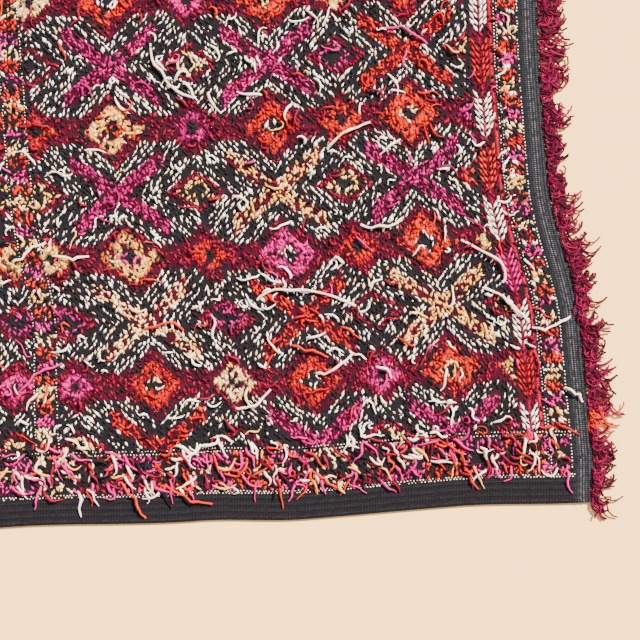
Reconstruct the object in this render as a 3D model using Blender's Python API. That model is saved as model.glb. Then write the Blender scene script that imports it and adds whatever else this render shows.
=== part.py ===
"""Moroccan runner rug: a flat-woven wool runner lying with its yarn-tail face up.

Metres, +Z up. +Y runs along the rug, +X across it, and z = 0 is the floor that it lies on.
A place on the cloth is given flat, as across (0 at the left side) and along (0 at the near end).
lie_at() turns it into the uneven outline in which the rug really lies.
"""

import math
import random

import bmesh
import bpy
from mathutils import Vector

# Driving sizes of the cloth
WIDTH = 1.060
LENGTH = 2.524
GROUND = 0.0044
FLOAT_LAYER = 0.0012
SELVEDGE = 0.027
SELVEDGE_RIBS = 3
END_BAND = 0.039
END_RIBS = 4
RIB_HEIGHT = 0.0013
FIELD_CELLS_ACROSS = 22
FIELD_CELLS_ALONG = 53

# Driving sizes of the side fringe
PIECE_GAP = 0.0003
STRIP_WIDTH = 0.0065
STRIP_HEIGHT = 0.0034
LOCKS_PER_BAY = 2
LOCK_ROOT = 0.0105
LOCK_LENGTH = (0.034, 0.056)
LOCK_TURN = 5.0
LOCK_SWAY = 0.0022

# Driving sizes of the loose yarn ends
TAIL_THICK = 0.0042
TAIL_CLEAR = 0.0011
TAIL_HUMP = 0.0055
TAIL_TAPER = 0.25
TAIL_RINGS = 5
FIRST_RING_BACK = 0.35
SMALL_SHARE = 0.02
SPREAD_TAILS_ACROSS = 3
SPREAD_TAILS_ALONG = 9
SPREAD_TAIL_LENGTH = (0.065, 0.115)
SPREAD_SHIFT = 0.13
SPREAD_BOW = 0.35
SEED = 41

# Gentle lumps over the field: share of their height, radians a metre across, radians a metre along
LUMP_HEIGHT = 0.0007
LUMP_WAVES = (
    (0.45, 21.0, 17.0),
    (0.30, 15.0, -19.0),
    (0.25, 11.0, -7.0),
)

# How far the cloth's sides lie to the right of a straight line: along, shift
SIDE_WANDER = (
    (0.00, 0.0000),
    (0.07, 0.0047),
    (0.26, 0.0027),
    (0.485, -0.0288),
    (0.62, -0.0290),
    (0.95, -0.0180),
    (1.35, -0.0040),
    (1.75, -0.0140),
    (2.10, -0.0290),
    (LENGTH, -0.0200),
)

# How far each end lies beyond a straight line across: across, shift
NEAR_END_WANDER = (
    (0.00, 0.0370),
    (0.18, 0.0310),
    (0.47, 0.0180),
    (0.63, 0.0080),
    (0.86, 0.0095),
    (WIDTH, 0.0000),
)
FAR_END_WANDER = (
    (0.00, 0.0060),
    (0.40, 0.0140),
    (0.76, 0.0100),
    (WIDTH, 0.0000),
)
END_BLEND_FROM = 0.70

# Soft puckers in the cloth: across, along, length, width, height, turn in degrees
PUCKERS = (
    (0.801, 0.335, 0.150, 0.060, 0.0028, 25.0),
    (0.701, 0.075, 0.110, 0.060, 0.0024, 80.0),
    (0.312, 0.135, 0.130, 0.060, 0.0028, 70.0),
    (0.423, 0.125, 0.120, 0.060, 0.0024, 60.0),
    (0.480, 0.520, 0.180, 0.070, 0.0022, -15.0),
    (0.840, 0.820, 0.160, 0.070, 0.0026, 30.0),
    (0.390, 1.060, 0.150, 0.070, 0.0024, 75.0),
    (0.740, 1.420, 0.190, 0.070, 0.0026, -20.0),
    (0.430, 1.760, 0.160, 0.070, 0.0024, 15.0),
    (0.820, 2.080, 0.150, 0.070, 0.0026, 65.0),
    (0.510, 2.330, 0.160, 0.070, 0.0024, -35.0),
)

# How far the fringe leans towards the near end: along, degrees
FRINGE_LEAN = (
    (0.00, 48.0),
    (0.04, 36.0),
    (0.14, 26.0),
    (0.32, 22.0),
    (0.48, 6.0),
    (0.62, -6.0),
    (1.05, 16.0),
    (1.55, 20.0),
    (2.05, 6.0),
    (LENGTH, 12.0),
)

# A lock's rings: share of its length, width, height
LOCK_RINGS = (
    (0.40, 0.0075, 0.0046),
    (0.74, 0.0050, 0.0036),
)

# The longest loose yarn ends near the near end: yarn, then across and along of root, middle and tip
LONG_TAILS = (
    ("cream", (0.588, 0.330), (0.646, 0.345), (0.731, 0.311)),
    ("cream", (0.913, 0.398), (0.960, 0.361), (0.956, 0.333)),
    ("cream", (0.925, 0.325), (0.956, 0.305), (0.983, 0.272)),
    ("cream", (0.986, 0.264), (1.013, 0.264), (1.046, 0.279)),
    ("orange", (0.403, 0.286), (0.445, 0.298), (0.469, 0.285)),
    ("cream", (0.303, 0.404), (0.330, 0.400), (0.358, 0.402)),
    ("cream", (0.240, 0.392), (0.264, 0.407), (0.299, 0.424)),
    ("orange", (0.626, 0.260), (0.650, 0.253), (0.680, 0.238)),
    ("cream", (0.660, 0.216), (0.687, 0.220), (0.718, 0.242)),
    ("cream", (0.535, 0.168), (0.558, 0.170), (0.590, 0.196)),
    ("orange", (0.640, 0.073), (0.660, 0.056), (0.683, 0.040)),
    ("orange", (0.356, 0.062), (0.377, 0.032), (0.392, 0.008)),
    ("orange", (0.420, 0.056), (0.458, 0.034), (0.492, 0.024)),
    ("orange", (0.835, 0.098), (0.862, 0.080), (0.870, 0.052)),
    ("cream", (0.734, 0.548), (0.764, 0.570), (0.802, 0.582)),
    ("pink", (0.212, 0.197), (0.250, 0.228), (0.284, 0.240)),
    ("cream", (1.026, 0.172), (1.042, 0.166), (1.052, 0.150)),
    ("cream", (0.770, 0.432), (0.802, 0.424), (0.835, 0.436)),
)

# Colour of each kind of yarn
YARNS = {
    "cream": (0.74, 0.60, 0.42),
    "orange": (0.78, 0.13, 0.03),
    "pink": (0.70, 0.03, 0.24),
}
CLOTH_COLOUR = (0.060, 0.012, 0.022)
FRINGE_COLOUR = (0.220, 0.010, 0.035)
WOOL_ROUGHNESS = 0.92


def read_table(table, place):
    """Reads a two-column table with a soft step from each row to the next."""
    for (start, low), (end, high) in zip(table, table[1:]):
        if place <= end:
            share = max((place - start) / (end - start), 0.0)
            return low + (high - low) * soft_step(share)
    return table[-1][1]


def soft_step(share):
    share = min(max(share, 0.0), 1.0)
    return share * share * (3.0 - 2.0 * share)


def lie_at(across, along):
    """Where a flat place on the cloth really lies on the floor."""
    far_share = soft_step((along - END_BLEND_FROM) / (LENGTH - END_BLEND_FROM))
    near_shift = read_table(NEAR_END_WANDER, across)
    far_shift = read_table(FAR_END_WANDER, across)
    x = across - WIDTH / 2 + read_table(SIDE_WANDER, along)
    y = along + near_shift * (1.0 - far_share) + far_shift * far_share
    return x, y


def rib_height(depth, band, ribs):
    """Height of the rounded ribs in a band, at a depth in from its outer edge."""
    if depth > band:
        return 0.0
    return RIB_HEIGHT * (0.5 - 0.5 * math.cos(2.0 * math.pi * ribs * depth / band))


def pucker_height(across, along):
    height = 0.0
    for centre_across, centre_along, length, width, rise, turn in PUCKERS:
        angle = math.radians(turn)
        right = across - centre_across
        up = along - centre_along
        lengthwise = (right * math.cos(angle) + up * math.sin(angle)) / (length / 2)
        sideways = (up * math.cos(angle) - right * math.sin(angle)) / (width / 2)
        height += rise * math.exp(-lengthwise ** 2 - sideways ** 2)
    return height


def cloth_top(across, along):
    """Height of the cloth's upper face over the floor."""
    from_side = min(across, WIDTH - across)
    from_end = min(along, LENGTH - along)
    in_field = soft_step((from_side - SELVEDGE) / SELVEDGE) * soft_step((from_end - END_BAND) / END_BAND)
    lumps = sum(share * math.sin(right * across + up * along) for share, right, up in LUMP_WAVES)
    ribs = max(
        rib_height(from_side, SELVEDGE, SELVEDGE_RIBS),
        rib_height(from_end, END_BAND, END_RIBS),
    )
    field_top = FLOAT_LAYER + LUMP_HEIGHT * lumps + pucker_height(across, along)
    return GROUND + ribs + field_top * in_field


def spaced(length, margin, ribs, middle_cells):
    """Grid lines over one direction of the cloth: two to a rib at both margins, even between."""
    rib_cells = 2 * ribs
    low = [margin * step / rib_cells for step in range(rib_cells)]
    middle = [margin + (length - 2 * margin) * step / middle_cells for step in range(middle_cells)]
    high = [length - margin + margin * step / rib_cells for step in range(rib_cells + 1)]
    return low + middle + high


COLUMNS = spaced(WIDTH, SELVEDGE, SELVEDGE_RIBS, FIELD_CELLS_ACROSS)
ROWS = spaced(LENGTH, END_BAND, END_RIBS, FIELD_CELLS_ALONG)


def make_material(name, colour):
    material = bpy.data.materials.new(name)
    material.use_nodes = True
    shader = material.node_tree.nodes["Principled BSDF"]
    shader.inputs["Base Color"].default_value = (*colour, 1.0)
    shader.inputs["Roughness"].default_value = WOOL_ROUGHNESS
    shader.inputs["Metallic"].default_value = 0.0
    return material


def finish_object(name, mesh_data, materials):
    """Closes a bmesh into a named object, with every face pointing out."""
    bmesh.ops.recalc_face_normals(mesh_data, faces=mesh_data.faces)
    mesh = bpy.data.meshes.new(name)
    mesh_data.to_mesh(mesh)
    mesh_data.free()
    for material in materials:
        mesh.materials.append(material)
    part = bpy.data.objects.new(name, mesh)
    bpy.context.collection.objects.link(part)
    return part


def bend(points, share):
    """A place on the smooth curve that starts at the first of three points and ends at the last."""
    start, middle, end = points
    pull = 2.0 * middle - 0.5 * (start + end)
    return start * (1.0 - share) ** 2 + pull * 2.0 * share * (1.0 - share) + end * share ** 2


def cell_at(across, along):
    """The grid cell that holds a flat place, away from the cloth's ribs."""
    column = max(step for step, line in enumerate(COLUMNS[:-1]) if line <= across)
    row = max(step for step, line in enumerate(ROWS[:-1]) if line <= along)
    return column, row


def kept_inside(value, low, high, margin):
    if high - low <= 2.0 * margin:
        return (low + high) / 2
    return min(max(value, low + margin), high - margin)


def draw_tail(mesh_data, face, corners, flat_points, material_index):
    """Draws a four-sided yarn end out of one face of the cloth's top.

    It rises out of a small square, bends over and lies along its three flat points in a low hump.
    """
    half = TAIL_THICK / 2
    points = [Vector(point) for point in flat_points]
    heading = (points[1] - points[0]).normalized()
    sideways = Vector((-heading.y, heading.x))
    quarter = round(math.atan2(heading.y, heading.x) / (math.pi / 2))
    order = ((-1, 1), (-1, -1), (1, -1), (1, 1))
    root = []
    for ahead, left in order:
        flat = points[0] + heading * ahead * half + sideways * left * half
        root.append(Vector((*lie_at(*flat), cloth_top(*flat))))
    ring = [mesh_data.verts.new(place) for place in root]
    turned = [corners[(step - 1 + quarter) % 4] for step in range(4)]
    bmesh.ops.delete(mesh_data, geom=[face], context="FACES_ONLY")
    for step in range(4):
        following = (step + 1) % 4
        mesh_data.faces.new((turned[step], turned[following], ring[following], ring[step]))
    for number in range(1, TAIL_RINGS + 1):
        share = (number - FIRST_RING_BACK) / (TAIL_RINGS - FIRST_RING_BACK)
        flat = bend(points, share)
        ahead = bend(points, min(share + SMALL_SHARE, 1.0)) - bend(points, share - SMALL_SHARE)
        heading = ahead.normalized()
        sideways = Vector((-heading.y, heading.x))
        thin = half * (1.0 - TAIL_TAPER * share)
        middle_height = cloth_top(*flat) + TAIL_CLEAR + thin + TAIL_HUMP * math.sin(math.pi * share)
        sides = ((thin, thin), (thin, -thin), (-thin, -thin), (-thin, thin))
        level = [flat + sideways * side for _, side in sides]
        heights = [middle_height + rise for rise, _ in sides]
        following_ring = [
            mesh_data.verts.new((*lie_at(*place), height)) for place, height in zip(level, heights)
        ]
        for step in range(4):
            following = (step + 1) % 4
            side_face = mesh_data.faces.new(
                (ring[step], ring[following], following_ring[following], following_ring[step])
            )
            side_face.material_index = material_index
        ring = following_ring
    tip = mesh_data.faces.new(ring)
    tip.material_index = material_index


def spread_tails():
    """Loose yarn ends over the rest of the rug, one in each cell of an even grid."""
    chance = random.Random(SEED)
    start = max(along for _, *places in LONG_TAILS for _, along in places)
    cell_across = (WIDTH - 4 * SELVEDGE) / SPREAD_TAILS_ACROSS
    cell_along = (LENGTH - END_BAND - start) / SPREAD_TAILS_ALONG
    tails = []
    for row in range(SPREAD_TAILS_ALONG):
        for column in range(SPREAD_TAILS_ACROSS):
            centre = Vector((
                2 * SELVEDGE + cell_across * (column + 0.5 + chance.uniform(-SPREAD_SHIFT, SPREAD_SHIFT)),
                start + cell_along * (row + 0.5 + chance.uniform(-SPREAD_SHIFT, SPREAD_SHIFT)),
            ))
            angle = chance.uniform(0.0, 2.0 * math.pi)
            reach = Vector((math.cos(angle), math.sin(angle))) * chance.uniform(*SPREAD_TAIL_LENGTH) / 2
            bow = Vector((-reach.y, reach.x)) * chance.uniform(-SPREAD_BOW, SPREAD_BOW)
            yarn = chance.choice(list(YARNS))
            tails.append((yarn, centre - reach, centre + bow, centre + reach))
    return tails


def build_rug():
    """The woven cloth: a ribbed and lumpy top over a flat underside, with its long yarn ends."""
    mesh_data = bmesh.new()
    top = [
        [mesh_data.verts.new((*lie_at(across, along), cloth_top(across, along))) for across in COLUMNS]
        for along in ROWS
    ]
    cells = {}
    for row in range(len(ROWS) - 1):
        for column in range(len(COLUMNS) - 1):
            corners = (
                top[row][column],
                top[row][column + 1],
                top[row + 1][column + 1],
                top[row + 1][column],
            )
            cells[column, row] = (mesh_data.faces.new(corners), corners)
    rim = top[0] + [line[-1] for line in top[1:-1]] + top[-1][::-1] + [line[0] for line in top[-2:0:-1]]
    foot = [mesh_data.verts.new((corner.co.x, corner.co.y, 0.0)) for corner in rim]
    mesh_data.faces.new(foot[::-1])
    for step, corner in enumerate(rim):
        following = (step + 1) % len(rim)
        mesh_data.faces.new((foot[step], foot[following], rim[following], corner))
    for yarn, start, middle, tip in list(LONG_TAILS) + spread_tails():
        column, row = cell_at(*start)
        face, corners = cells.pop((column, row))
        root = (
            kept_inside(start[0], COLUMNS[column], COLUMNS[column + 1], TAIL_THICK),
            kept_inside(start[1], ROWS[row], ROWS[row + 1], TAIL_THICK),
        )
        draw_tail(mesh_data, face, corners, (root, middle, tip), 1 + list(YARNS).index(yarn))
    materials = [make_material("woven_wool", CLOTH_COLOUR)]
    materials += [make_material(yarn + "_yarn", colour) for yarn, colour in YARNS.items()]
    return finish_object("woven_rug", mesh_data, materials)


def fringe_bays():
    """The stretches of a side that hold one group of locks each, as lists of grid rows."""
    rib_cells = 2 * END_RIBS
    near = ROWS[:rib_cells + 1]
    far = ROWS[-rib_cells - 1:]
    middle = ROWS[rib_cells:-rib_cells]
    return [near] + [list(pair) for pair in zip(middle, middle[1:])] + [far]


def draw_lock(mesh_data, root, side, lean, length, sway):
    """Draws one three-sided lock out of the strip: flat below, ridged above, ending in a point."""
    near_low, far_low, far_high, near_high = root
    angle = math.radians(lean)
    heading = Vector((side * math.cos(angle), -math.sin(angle)))
    sideways = Vector((side * math.sin(angle), math.cos(angle)))
    start = (near_low.co.xy + far_low.co.xy) / 2
    ring = None
    for number, (share, width, height) in enumerate(LOCK_RINGS):
        bow = sway * (1.0 if number == 0 else -1.0)
        middle = start + heading * length * share + sideways * bow
        near = mesh_data.verts.new((*(middle - sideways * width / 2), 0.0))
        far = mesh_data.verts.new((*(middle + sideways * width / 2), 0.0))
        ridge = mesh_data.verts.new((*middle, height))
        if ring is None:
            mesh_data.faces.new((near_low, far_low, far, near))
            mesh_data.faces.new((near_low, near, ridge, near_high))
            mesh_data.faces.new((far_low, far_high, ridge, far))
            mesh_data.faces.new((near_high, ridge, far_high))
        else:
            for step in range(3):
                following = (step + 1) % 3
                mesh_data.faces.new((ring[step], ring[following], (near, far, ridge)[following],
                                     (near, far, ridge)[step]))
        ring = (near, far, ridge)
    tip = mesh_data.verts.new((*(start + heading * length), 0.0))
    for step in range(3):
        mesh_data.faces.new((ring[step], ring[(step + 1) % 3], tip))


def build_fringe(name, side, material):
    """One side's fringe: a narrow strip beside the cloth, with its locks drawn out of it."""
    chance = random.Random(SEED + side)
    mesh_data = bmesh.new()
    edge = WIDTH if side > 0 else 0.0
    inner_shift = side * PIECE_GAP
    outer_shift = side * (PIECE_GAP + STRIP_WIDTH)

    def post(along, shift):
        x, y = lie_at(edge, along)
        low = mesh_data.verts.new((x + shift, y, 0.0))
        return low, mesh_data.verts.new((x + shift, y, STRIP_HEIGHT))

    def wall(first, second):
        mesh_data.faces.new((first[0], second[0], second[1], first[1]))

    bays = fringe_bays()
    inner = post(0.0, inner_shift)
    outer_start = post(0.0, outer_shift)
    wall(inner, outer_start)
    before = outer_start
    for number, rows in enumerate(bays):
        inner_posts = [inner] + [post(along, inner_shift) for along in rows[1:]]
        for first, second in zip(inner_posts, inner_posts[1:]):
            wall(first, second)
        pitch = (rows[-1] - rows[0]) / LOCKS_PER_BAY
        outer_posts = [before]
        for lock in range(LOCKS_PER_BAY):
            middle = rows[0] + pitch * (lock + 0.5)
            near = post(middle - LOCK_ROOT / 2, outer_shift)
            far = post(middle + LOCK_ROOT / 2, outer_shift)
            wall(outer_posts[-1], near)
            outer_posts += [near, far]
            draw_lock(
                mesh_data,
                (near[0], far[0], far[1], near[1]),
                side,
                read_table(FRINGE_LEAN, middle) + chance.uniform(-LOCK_TURN, LOCK_TURN),
                chance.uniform(*LOCK_LENGTH),
                chance.uniform(-LOCK_SWAY, LOCK_SWAY),
            )
        if number == len(bays) - 1:
            outer_end = post(LENGTH, outer_shift)
            wall(outer_posts[-1], outer_end)
            outer_posts.append(outer_end)
            wall(inner_posts[-1], outer_end)
        for level in (0, 1):
            outline = inner_posts + outer_posts[::-1]
            mesh_data.faces.new([pair[level] for pair in outline])
        inner = inner_posts[-1]
        before = outer_posts[-1]
    return finish_object(name, mesh_data, [material])


def settle(parts):
    """Moves the whole rug so that the middle of its box is over the origin."""
    places = [vertex.co for part in parts for vertex in part.data.vertices]
    middle_x = (min(place.x for place in places) + max(place.x for place in places)) / 2
    middle_y = (min(place.y for place in places) + max(place.y for place in places)) / 2
    for part in parts:
        part.location = (-middle_x, -middle_y, 0.0)


def build():
    for old in list(bpy.data.objects):
        bpy.data.objects.remove(old, do_unlink=True)
    crimson = make_material("crimson_yarn", FRINGE_COLOUR)
    settle([build_rug(), build_fringe("fringe_right", 1, crimson), build_fringe("fringe_left", -1, crimson)])


build()
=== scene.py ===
# %% [markdown]
# # A flat-woven wool runner, yarn-tail side up
# The real rug is woven by hand on an upright loom. Black wool makes the ground, dyed yarns are
# wrapped over it stitch by stitch, and their loose ends are left hanging on this side. The solids
# of the rug come in first, as a fixed frame, and every piece below is laid on them by size.

# %% Load the solids and keep their box
import math
import random

import bpy
import numpy as np
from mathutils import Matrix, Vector


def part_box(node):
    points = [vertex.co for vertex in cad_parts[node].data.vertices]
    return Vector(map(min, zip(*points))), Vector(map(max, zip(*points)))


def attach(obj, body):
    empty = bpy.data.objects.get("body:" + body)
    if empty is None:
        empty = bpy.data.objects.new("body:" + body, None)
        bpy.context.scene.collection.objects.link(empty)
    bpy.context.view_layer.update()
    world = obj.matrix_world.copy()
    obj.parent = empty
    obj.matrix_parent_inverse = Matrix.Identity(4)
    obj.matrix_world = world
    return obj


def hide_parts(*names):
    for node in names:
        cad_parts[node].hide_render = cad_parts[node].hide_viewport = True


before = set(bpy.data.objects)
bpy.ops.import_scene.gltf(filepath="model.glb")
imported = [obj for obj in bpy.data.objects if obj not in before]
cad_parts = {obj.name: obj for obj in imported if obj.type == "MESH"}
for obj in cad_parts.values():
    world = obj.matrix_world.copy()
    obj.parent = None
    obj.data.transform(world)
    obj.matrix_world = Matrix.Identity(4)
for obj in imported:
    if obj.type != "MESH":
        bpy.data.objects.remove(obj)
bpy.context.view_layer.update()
print("solids:", sorted(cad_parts))

# %% [markdown]
# ## How the cloth lies
# The rug isn't a perfect rectangle. Its sides wander, its ends are askew, and the cloth puckers.
# It could be traced point by point, but then no piece would know where the cloth runs. Here a place
# on the cloth is given flat, as across and along in metres, and one function tells where it lies.

# %% Driving sizes of the cloth
WIDTH = 1.060
LENGTH = 2.524
GROUND = 0.0044
FLOAT_LAYER = 0.0012
SELVEDGE = 0.027
SELVEDGE_RIBS = 3
END_BAND = 0.039
END_RIBS = 4
RIB_HEIGHT = 0.0013
LUMP_HEIGHT = 0.0007
END_BLEND_FROM = 0.70

# share of the height, radians a metre across, radians a metre along
LUMP_WAVES = ((0.45, 21.0, 17.0), (0.30, 15.0, -19.0), (0.25, 11.0, -7.0))

# along, how far the sides lie to the right
SIDE_WANDER = (
    (0.00, 0.0000), (0.07, 0.0047), (0.26, 0.0027), (0.485, -0.0288), (0.62, -0.0290),
    (0.95, -0.0180), (1.35, -0.0040), (1.75, -0.0140), (2.10, -0.0290), (LENGTH, -0.0200),
)

# across, how far the end lies beyond a straight line
NEAR_END_WANDER = (
    (0.00, 0.0370), (0.18, 0.0310), (0.47, 0.0180), (0.63, 0.0080), (0.86, 0.0095), (WIDTH, 0.0000),
)
FAR_END_WANDER = ((0.00, 0.0060), (0.40, 0.0140), (0.76, 0.0100), (WIDTH, 0.0000))

# across, along, length, width, height, turn in degrees
PUCKERS = (
    (0.801, 0.335, 0.150, 0.060, 0.0028, 25.0),
    (0.701, 0.075, 0.110, 0.060, 0.0024, 80.0),
    (0.312, 0.135, 0.130, 0.060, 0.0028, 70.0),
    (0.423, 0.125, 0.120, 0.060, 0.0024, 60.0),
    (0.480, 0.520, 0.180, 0.070, 0.0022, -15.0),
    (0.840, 0.820, 0.160, 0.070, 0.0026, 30.0),
    (0.390, 1.060, 0.150, 0.070, 0.0024, 75.0),
    (0.740, 1.420, 0.190, 0.070, 0.0026, -20.0),
    (0.430, 1.760, 0.160, 0.070, 0.0024, 15.0),
    (0.820, 2.080, 0.150, 0.070, 0.0026, 65.0),
    (0.510, 2.330, 0.160, 0.070, 0.0024, -35.0),
)
print("flat cloth of", WIDTH, "by", LENGTH, "m with", len(PUCKERS), "puckers")


# %% From a flat place to where it lies
def soft_step(share):
    share = np.clip(share, 0.0, 1.0)
    return share * share * (3.0 - 2.0 * share)


def between(limits, share):
    """The value at a share of the way from the first limit to the second."""
    return limits[0] + (limits[1] - limits[0]) * share


def read_table(table, place):
    """Reads a two-column table with a soft step from each row to the next."""
    starts, values = np.array(table).T
    place = np.clip(place, starts[0], starts[-1])
    row = np.clip(np.searchsorted(starts, place, side="right") - 1, 0, len(starts) - 2)
    share = (place - starts[row]) / (starts[row + 1] - starts[row])
    return values[row] + (values[row + 1] - values[row]) * soft_step(share)


def to_edges(across, along):
    """Distances to the nearest side and to the nearest end."""
    return np.minimum(across, WIDTH - across), np.minimum(along, LENGTH - along)


def unsettled(across, along):
    """Where a flat place lies, before the whole rug is centred."""
    far_share = soft_step((along - END_BLEND_FROM) / (LENGTH - END_BLEND_FROM))
    near_shift = read_table(NEAR_END_WANDER, across)
    far_shift = read_table(FAR_END_WANDER, across)
    x = across - WIDTH / 2 + read_table(SIDE_WANDER, along)
    return x, along + near_shift * (1.0 - far_share) + far_shift * far_share


halfway_shift = read_table(SIDE_WANDER, LENGTH / 2)
print("half way along, the rug lies", round(float(halfway_shift), 4), "m off its line")

# %% Find how far the solids were moved to centre them
SIDE_SAMPLES = 800
rug_low, rug_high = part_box("woven_rug")
side_x, _ = unsettled(np.full(SIDE_SAMPLES, WIDTH), np.linspace(0.0, LENGTH, SIDE_SAMPLES))
_, end_y = unsettled(np.linspace(0.0, WIDTH, SIDE_SAMPLES), np.zeros(SIDE_SAMPLES))
SETTLE_X = rug_high.x - float(side_x.max())
SETTLE_Y = rug_low.y - float(end_y.min())


def lie_at(across, along):
    """Where a flat place on the cloth lies in the frame."""
    x, y = unsettled(np.asarray(across, float), np.asarray(along, float))
    return x + SETTLE_X, y + SETTLE_Y


CORNER_X, CORNER_Y = (float(value) for value in lie_at(WIDTH, 0.0))
print(f"near right corner at {CORNER_X:.4f}, {CORNER_Y:.4f} m")

# %% [markdown]
# ## How high the cloth stands
# The solid has the ribs of the selvedge, the broad lumps and the puckers. Real weft-wrapped cloth
# is also cockled between the motifs, because the yarns pull unevenly. Those wrinkles are 30 to 60 mm
# apart and about 2 mm high, too fine for the solid, so they are added to the same formula.

# %% Heights of the upper face
WRINKLE_HEIGHT = 0.0021

# share of the height, radians a metre across, radians a metre along, how much it meanders
WRINKLE_WAVES = ((0.40, 118.0, 58.0, 1.3), (0.35, -71.0, 112.0, 1.6), (0.25, 163.0, -49.0, 0.9))
MEANDER = (23.0, 31.0)


def rib_height(depth, band, ribs):
    inside = RIB_HEIGHT * (0.5 - 0.5 * np.cos(2.0 * np.pi * ribs * depth / band))
    return np.where(depth > band, 0.0, inside)


def pucker_height(across, along):
    height = np.zeros(np.shape(across))
    for centre_across, centre_along, length, width, rise, turn in PUCKERS:
        angle = math.radians(turn)
        right = across - centre_across
        up = along - centre_along
        lengthwise = (right * math.cos(angle) + up * math.sin(angle)) / (length / 2)
        sideways = (up * math.cos(angle) - right * math.sin(angle)) / (width / 2)
        height += rise * np.exp(-lengthwise ** 2 - sideways ** 2)
    return height


def wrinkle_height(across, along):
    meander = np.sin(across * MEANDER[0]) + np.sin(along * MEANDER[1])
    waves = (share * np.sin(right * across + up * along + bend * meander)
             for share, right, up, bend in WRINKLE_WAVES)
    return WRINKLE_HEIGHT * sum(waves)


def cloth_top(across, along):
    """Height of the cloth's upper face over the floor."""
    from_side, from_end = to_edges(across, along)
    in_field = soft_step((from_side - SELVEDGE) / SELVEDGE) * soft_step((from_end - END_BAND) / END_BAND)
    lumps = sum(share * np.sin(right * across + up * along) for share, right, up in LUMP_WAVES)
    ribs = np.maximum(rib_height(from_side, SELVEDGE, SELVEDGE_RIBS),
                      rib_height(from_end, END_BAND, END_RIBS))
    raised = FLOAT_LAYER + LUMP_HEIGHT * lumps + pucker_height(across, along)
    return GROUND + ribs + (raised + wrinkle_height(across, along)) * in_field


print(f"cloth is {1000 * float(cloth_top(0.44, 1.2)):.1f} mm high at its middle")

# %% [markdown]
# ## Camera, floor and light
# The camera looks straight down on the near right corner, turned a few degrees, as in the photo.
# A long lens keeps the edges free of perspective. One soft sun stands to the upper right, so the
# loose yarns throw short shadows to the lower left, and a pale sky fills them.

# %% Camera over the near right corner
VIEW_TURN = math.radians(4.5)
VIEW_CENTRE = (-0.385, 0.303)
VIEW_HEIGHT = 2.13
LENS = 80.0


def placed(name, data):
    """A new object with this data, put in the scene."""
    thing = bpy.data.objects.new(name, data)
    bpy.context.scene.collection.objects.link(thing)
    return thing


camera = placed("overhead_camera", bpy.data.cameras.new("overhead_camera"))
camera.data.lens = LENS
camera.location = (CORNER_X + VIEW_CENTRE[0], CORNER_Y + VIEW_CENTRE[1], VIEW_HEIGHT)
camera.rotation_euler = (0.0, 0.0, -VIEW_TURN)
bpy.context.scene.camera = camera
print("camera at", [round(value, 3) for value in camera.location])

# %% Sun and sky
SUN_FROM = Vector((0.62, 0.60, 0.82))
SUN_STRENGTH = 18.0
SUN_SOFTNESS = math.radians(4.0)
SUN_COLOUR = (1.0, 0.95, 0.87)
SKY_COLOUR = (0.86, 0.92, 1.0)
SKY_STRENGTH = 1.15

sun = placed("soft_sun", bpy.data.lights.new("soft_sun", "SUN"))
sun.data.energy = SUN_STRENGTH
sun.data.angle = SUN_SOFTNESS
sun.data.color = SUN_COLOUR
sun.rotation_euler = SUN_FROM.to_track_quat("Z", "Y").to_euler()

sky = bpy.data.worlds.new("pale_sky")
sky.use_nodes = True
background = sky.node_tree.nodes["Background"]
background.inputs["Color"].default_value = (*SKY_COLOUR, 1.0)
background.inputs["Strength"].default_value = SKY_STRENGTH
bpy.context.scene.world = sky
print("sun of", SUN_STRENGTH, "and sky of", SKY_STRENGTH)

# %% Floor
FLOOR_HALF = 4.0
FLOOR_DROP = 0.0004
FLOOR_COLOUR = (1.0, 0.57, 0.20)
FLOOR_ROUGHNESS = 0.9

floor_mesh = bpy.data.meshes.new("floor")
floor_corners = [(right * FLOOR_HALF, up * FLOOR_HALF, -FLOOR_DROP)
                 for right, up in ((-1, -1), (1, -1), (1, 1), (-1, 1))]
floor_mesh.from_pydata(floor_corners, [], [(0, 1, 2, 3)])
floor = placed("floor", floor_mesh)
floor_paint = bpy.data.materials.new("pale_floor")
floor_paint.use_nodes = True
floor_shader = floor_paint.node_tree.nodes["Principled BSDF"]
floor_shader.inputs["Base Color"].default_value = (*FLOOR_COLOUR, 1.0)
floor_shader.inputs["Roughness"].default_value = FLOOR_ROUGHNESS
floor_mesh.materials.append(floor_paint)
print("floor laid at", -FLOOR_DROP)

# %% [markdown]
# ## The yarns
# Every colour on the rug is one dyed yarn, so the colours are a short list of named yarns; the
# slate yarn also serves as a painted highlight on the crests of the end ribs. Each piece stores the
# colour of its yarn in an attribute, and one wool material reads it. The alternative, a material
# for each colour, would need the pieces split by colour.

# %% Dyed yarns, as screen colours from 0 to 255
YARN_COLOURS = {
    "black": (20, 16, 19),
    "charcoal": (27, 26, 31),
    # slate is the grey yarn of the selvedge, and also the painted highlight on the crests of the end
    # band's ribs
    "slate": (25, 25, 28),
    "maroon": (66, 0, 22),
    "plum": (44, 3, 18),
    "crimson": (119, 0, 33),
    "scarlet": (156, 0, 36),
    "magenta": (138, 0, 76),
    "pink": (184, 0, 102),
    "red": (162, 3, 0),
    "orange": (184, 32, 0),
    "gold": (222, 158, 70),
    "cream": (238, 198, 140),
    "white": (254, 236, 216),
    "blush": (248, 210, 186),
}
YARN = {name: number for number, name in enumerate(YARN_COLOURS)}
BLACK, WHITE, MAROON, CRIMSON = (YARN[name] for name in ("black", "white", "maroon", "crimson"))
DARKER_OF = {"magenta": "maroon", "pink": "crimson", "red": "crimson", "orange": "red",
             "gold": "orange", "cream": "gold"}
VARIANT_OF = {"crimson": "maroon", "magenta": "pink", "pink": "magenta", "red": "orange",
              "orange": "red", "gold": "cream", "cream": "gold"}
DARKER, VARIANT = (np.array([YARN[swap.get(name, name)] for name in YARN])
                   for swap in (DARKER_OF, VARIANT_OF))


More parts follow.
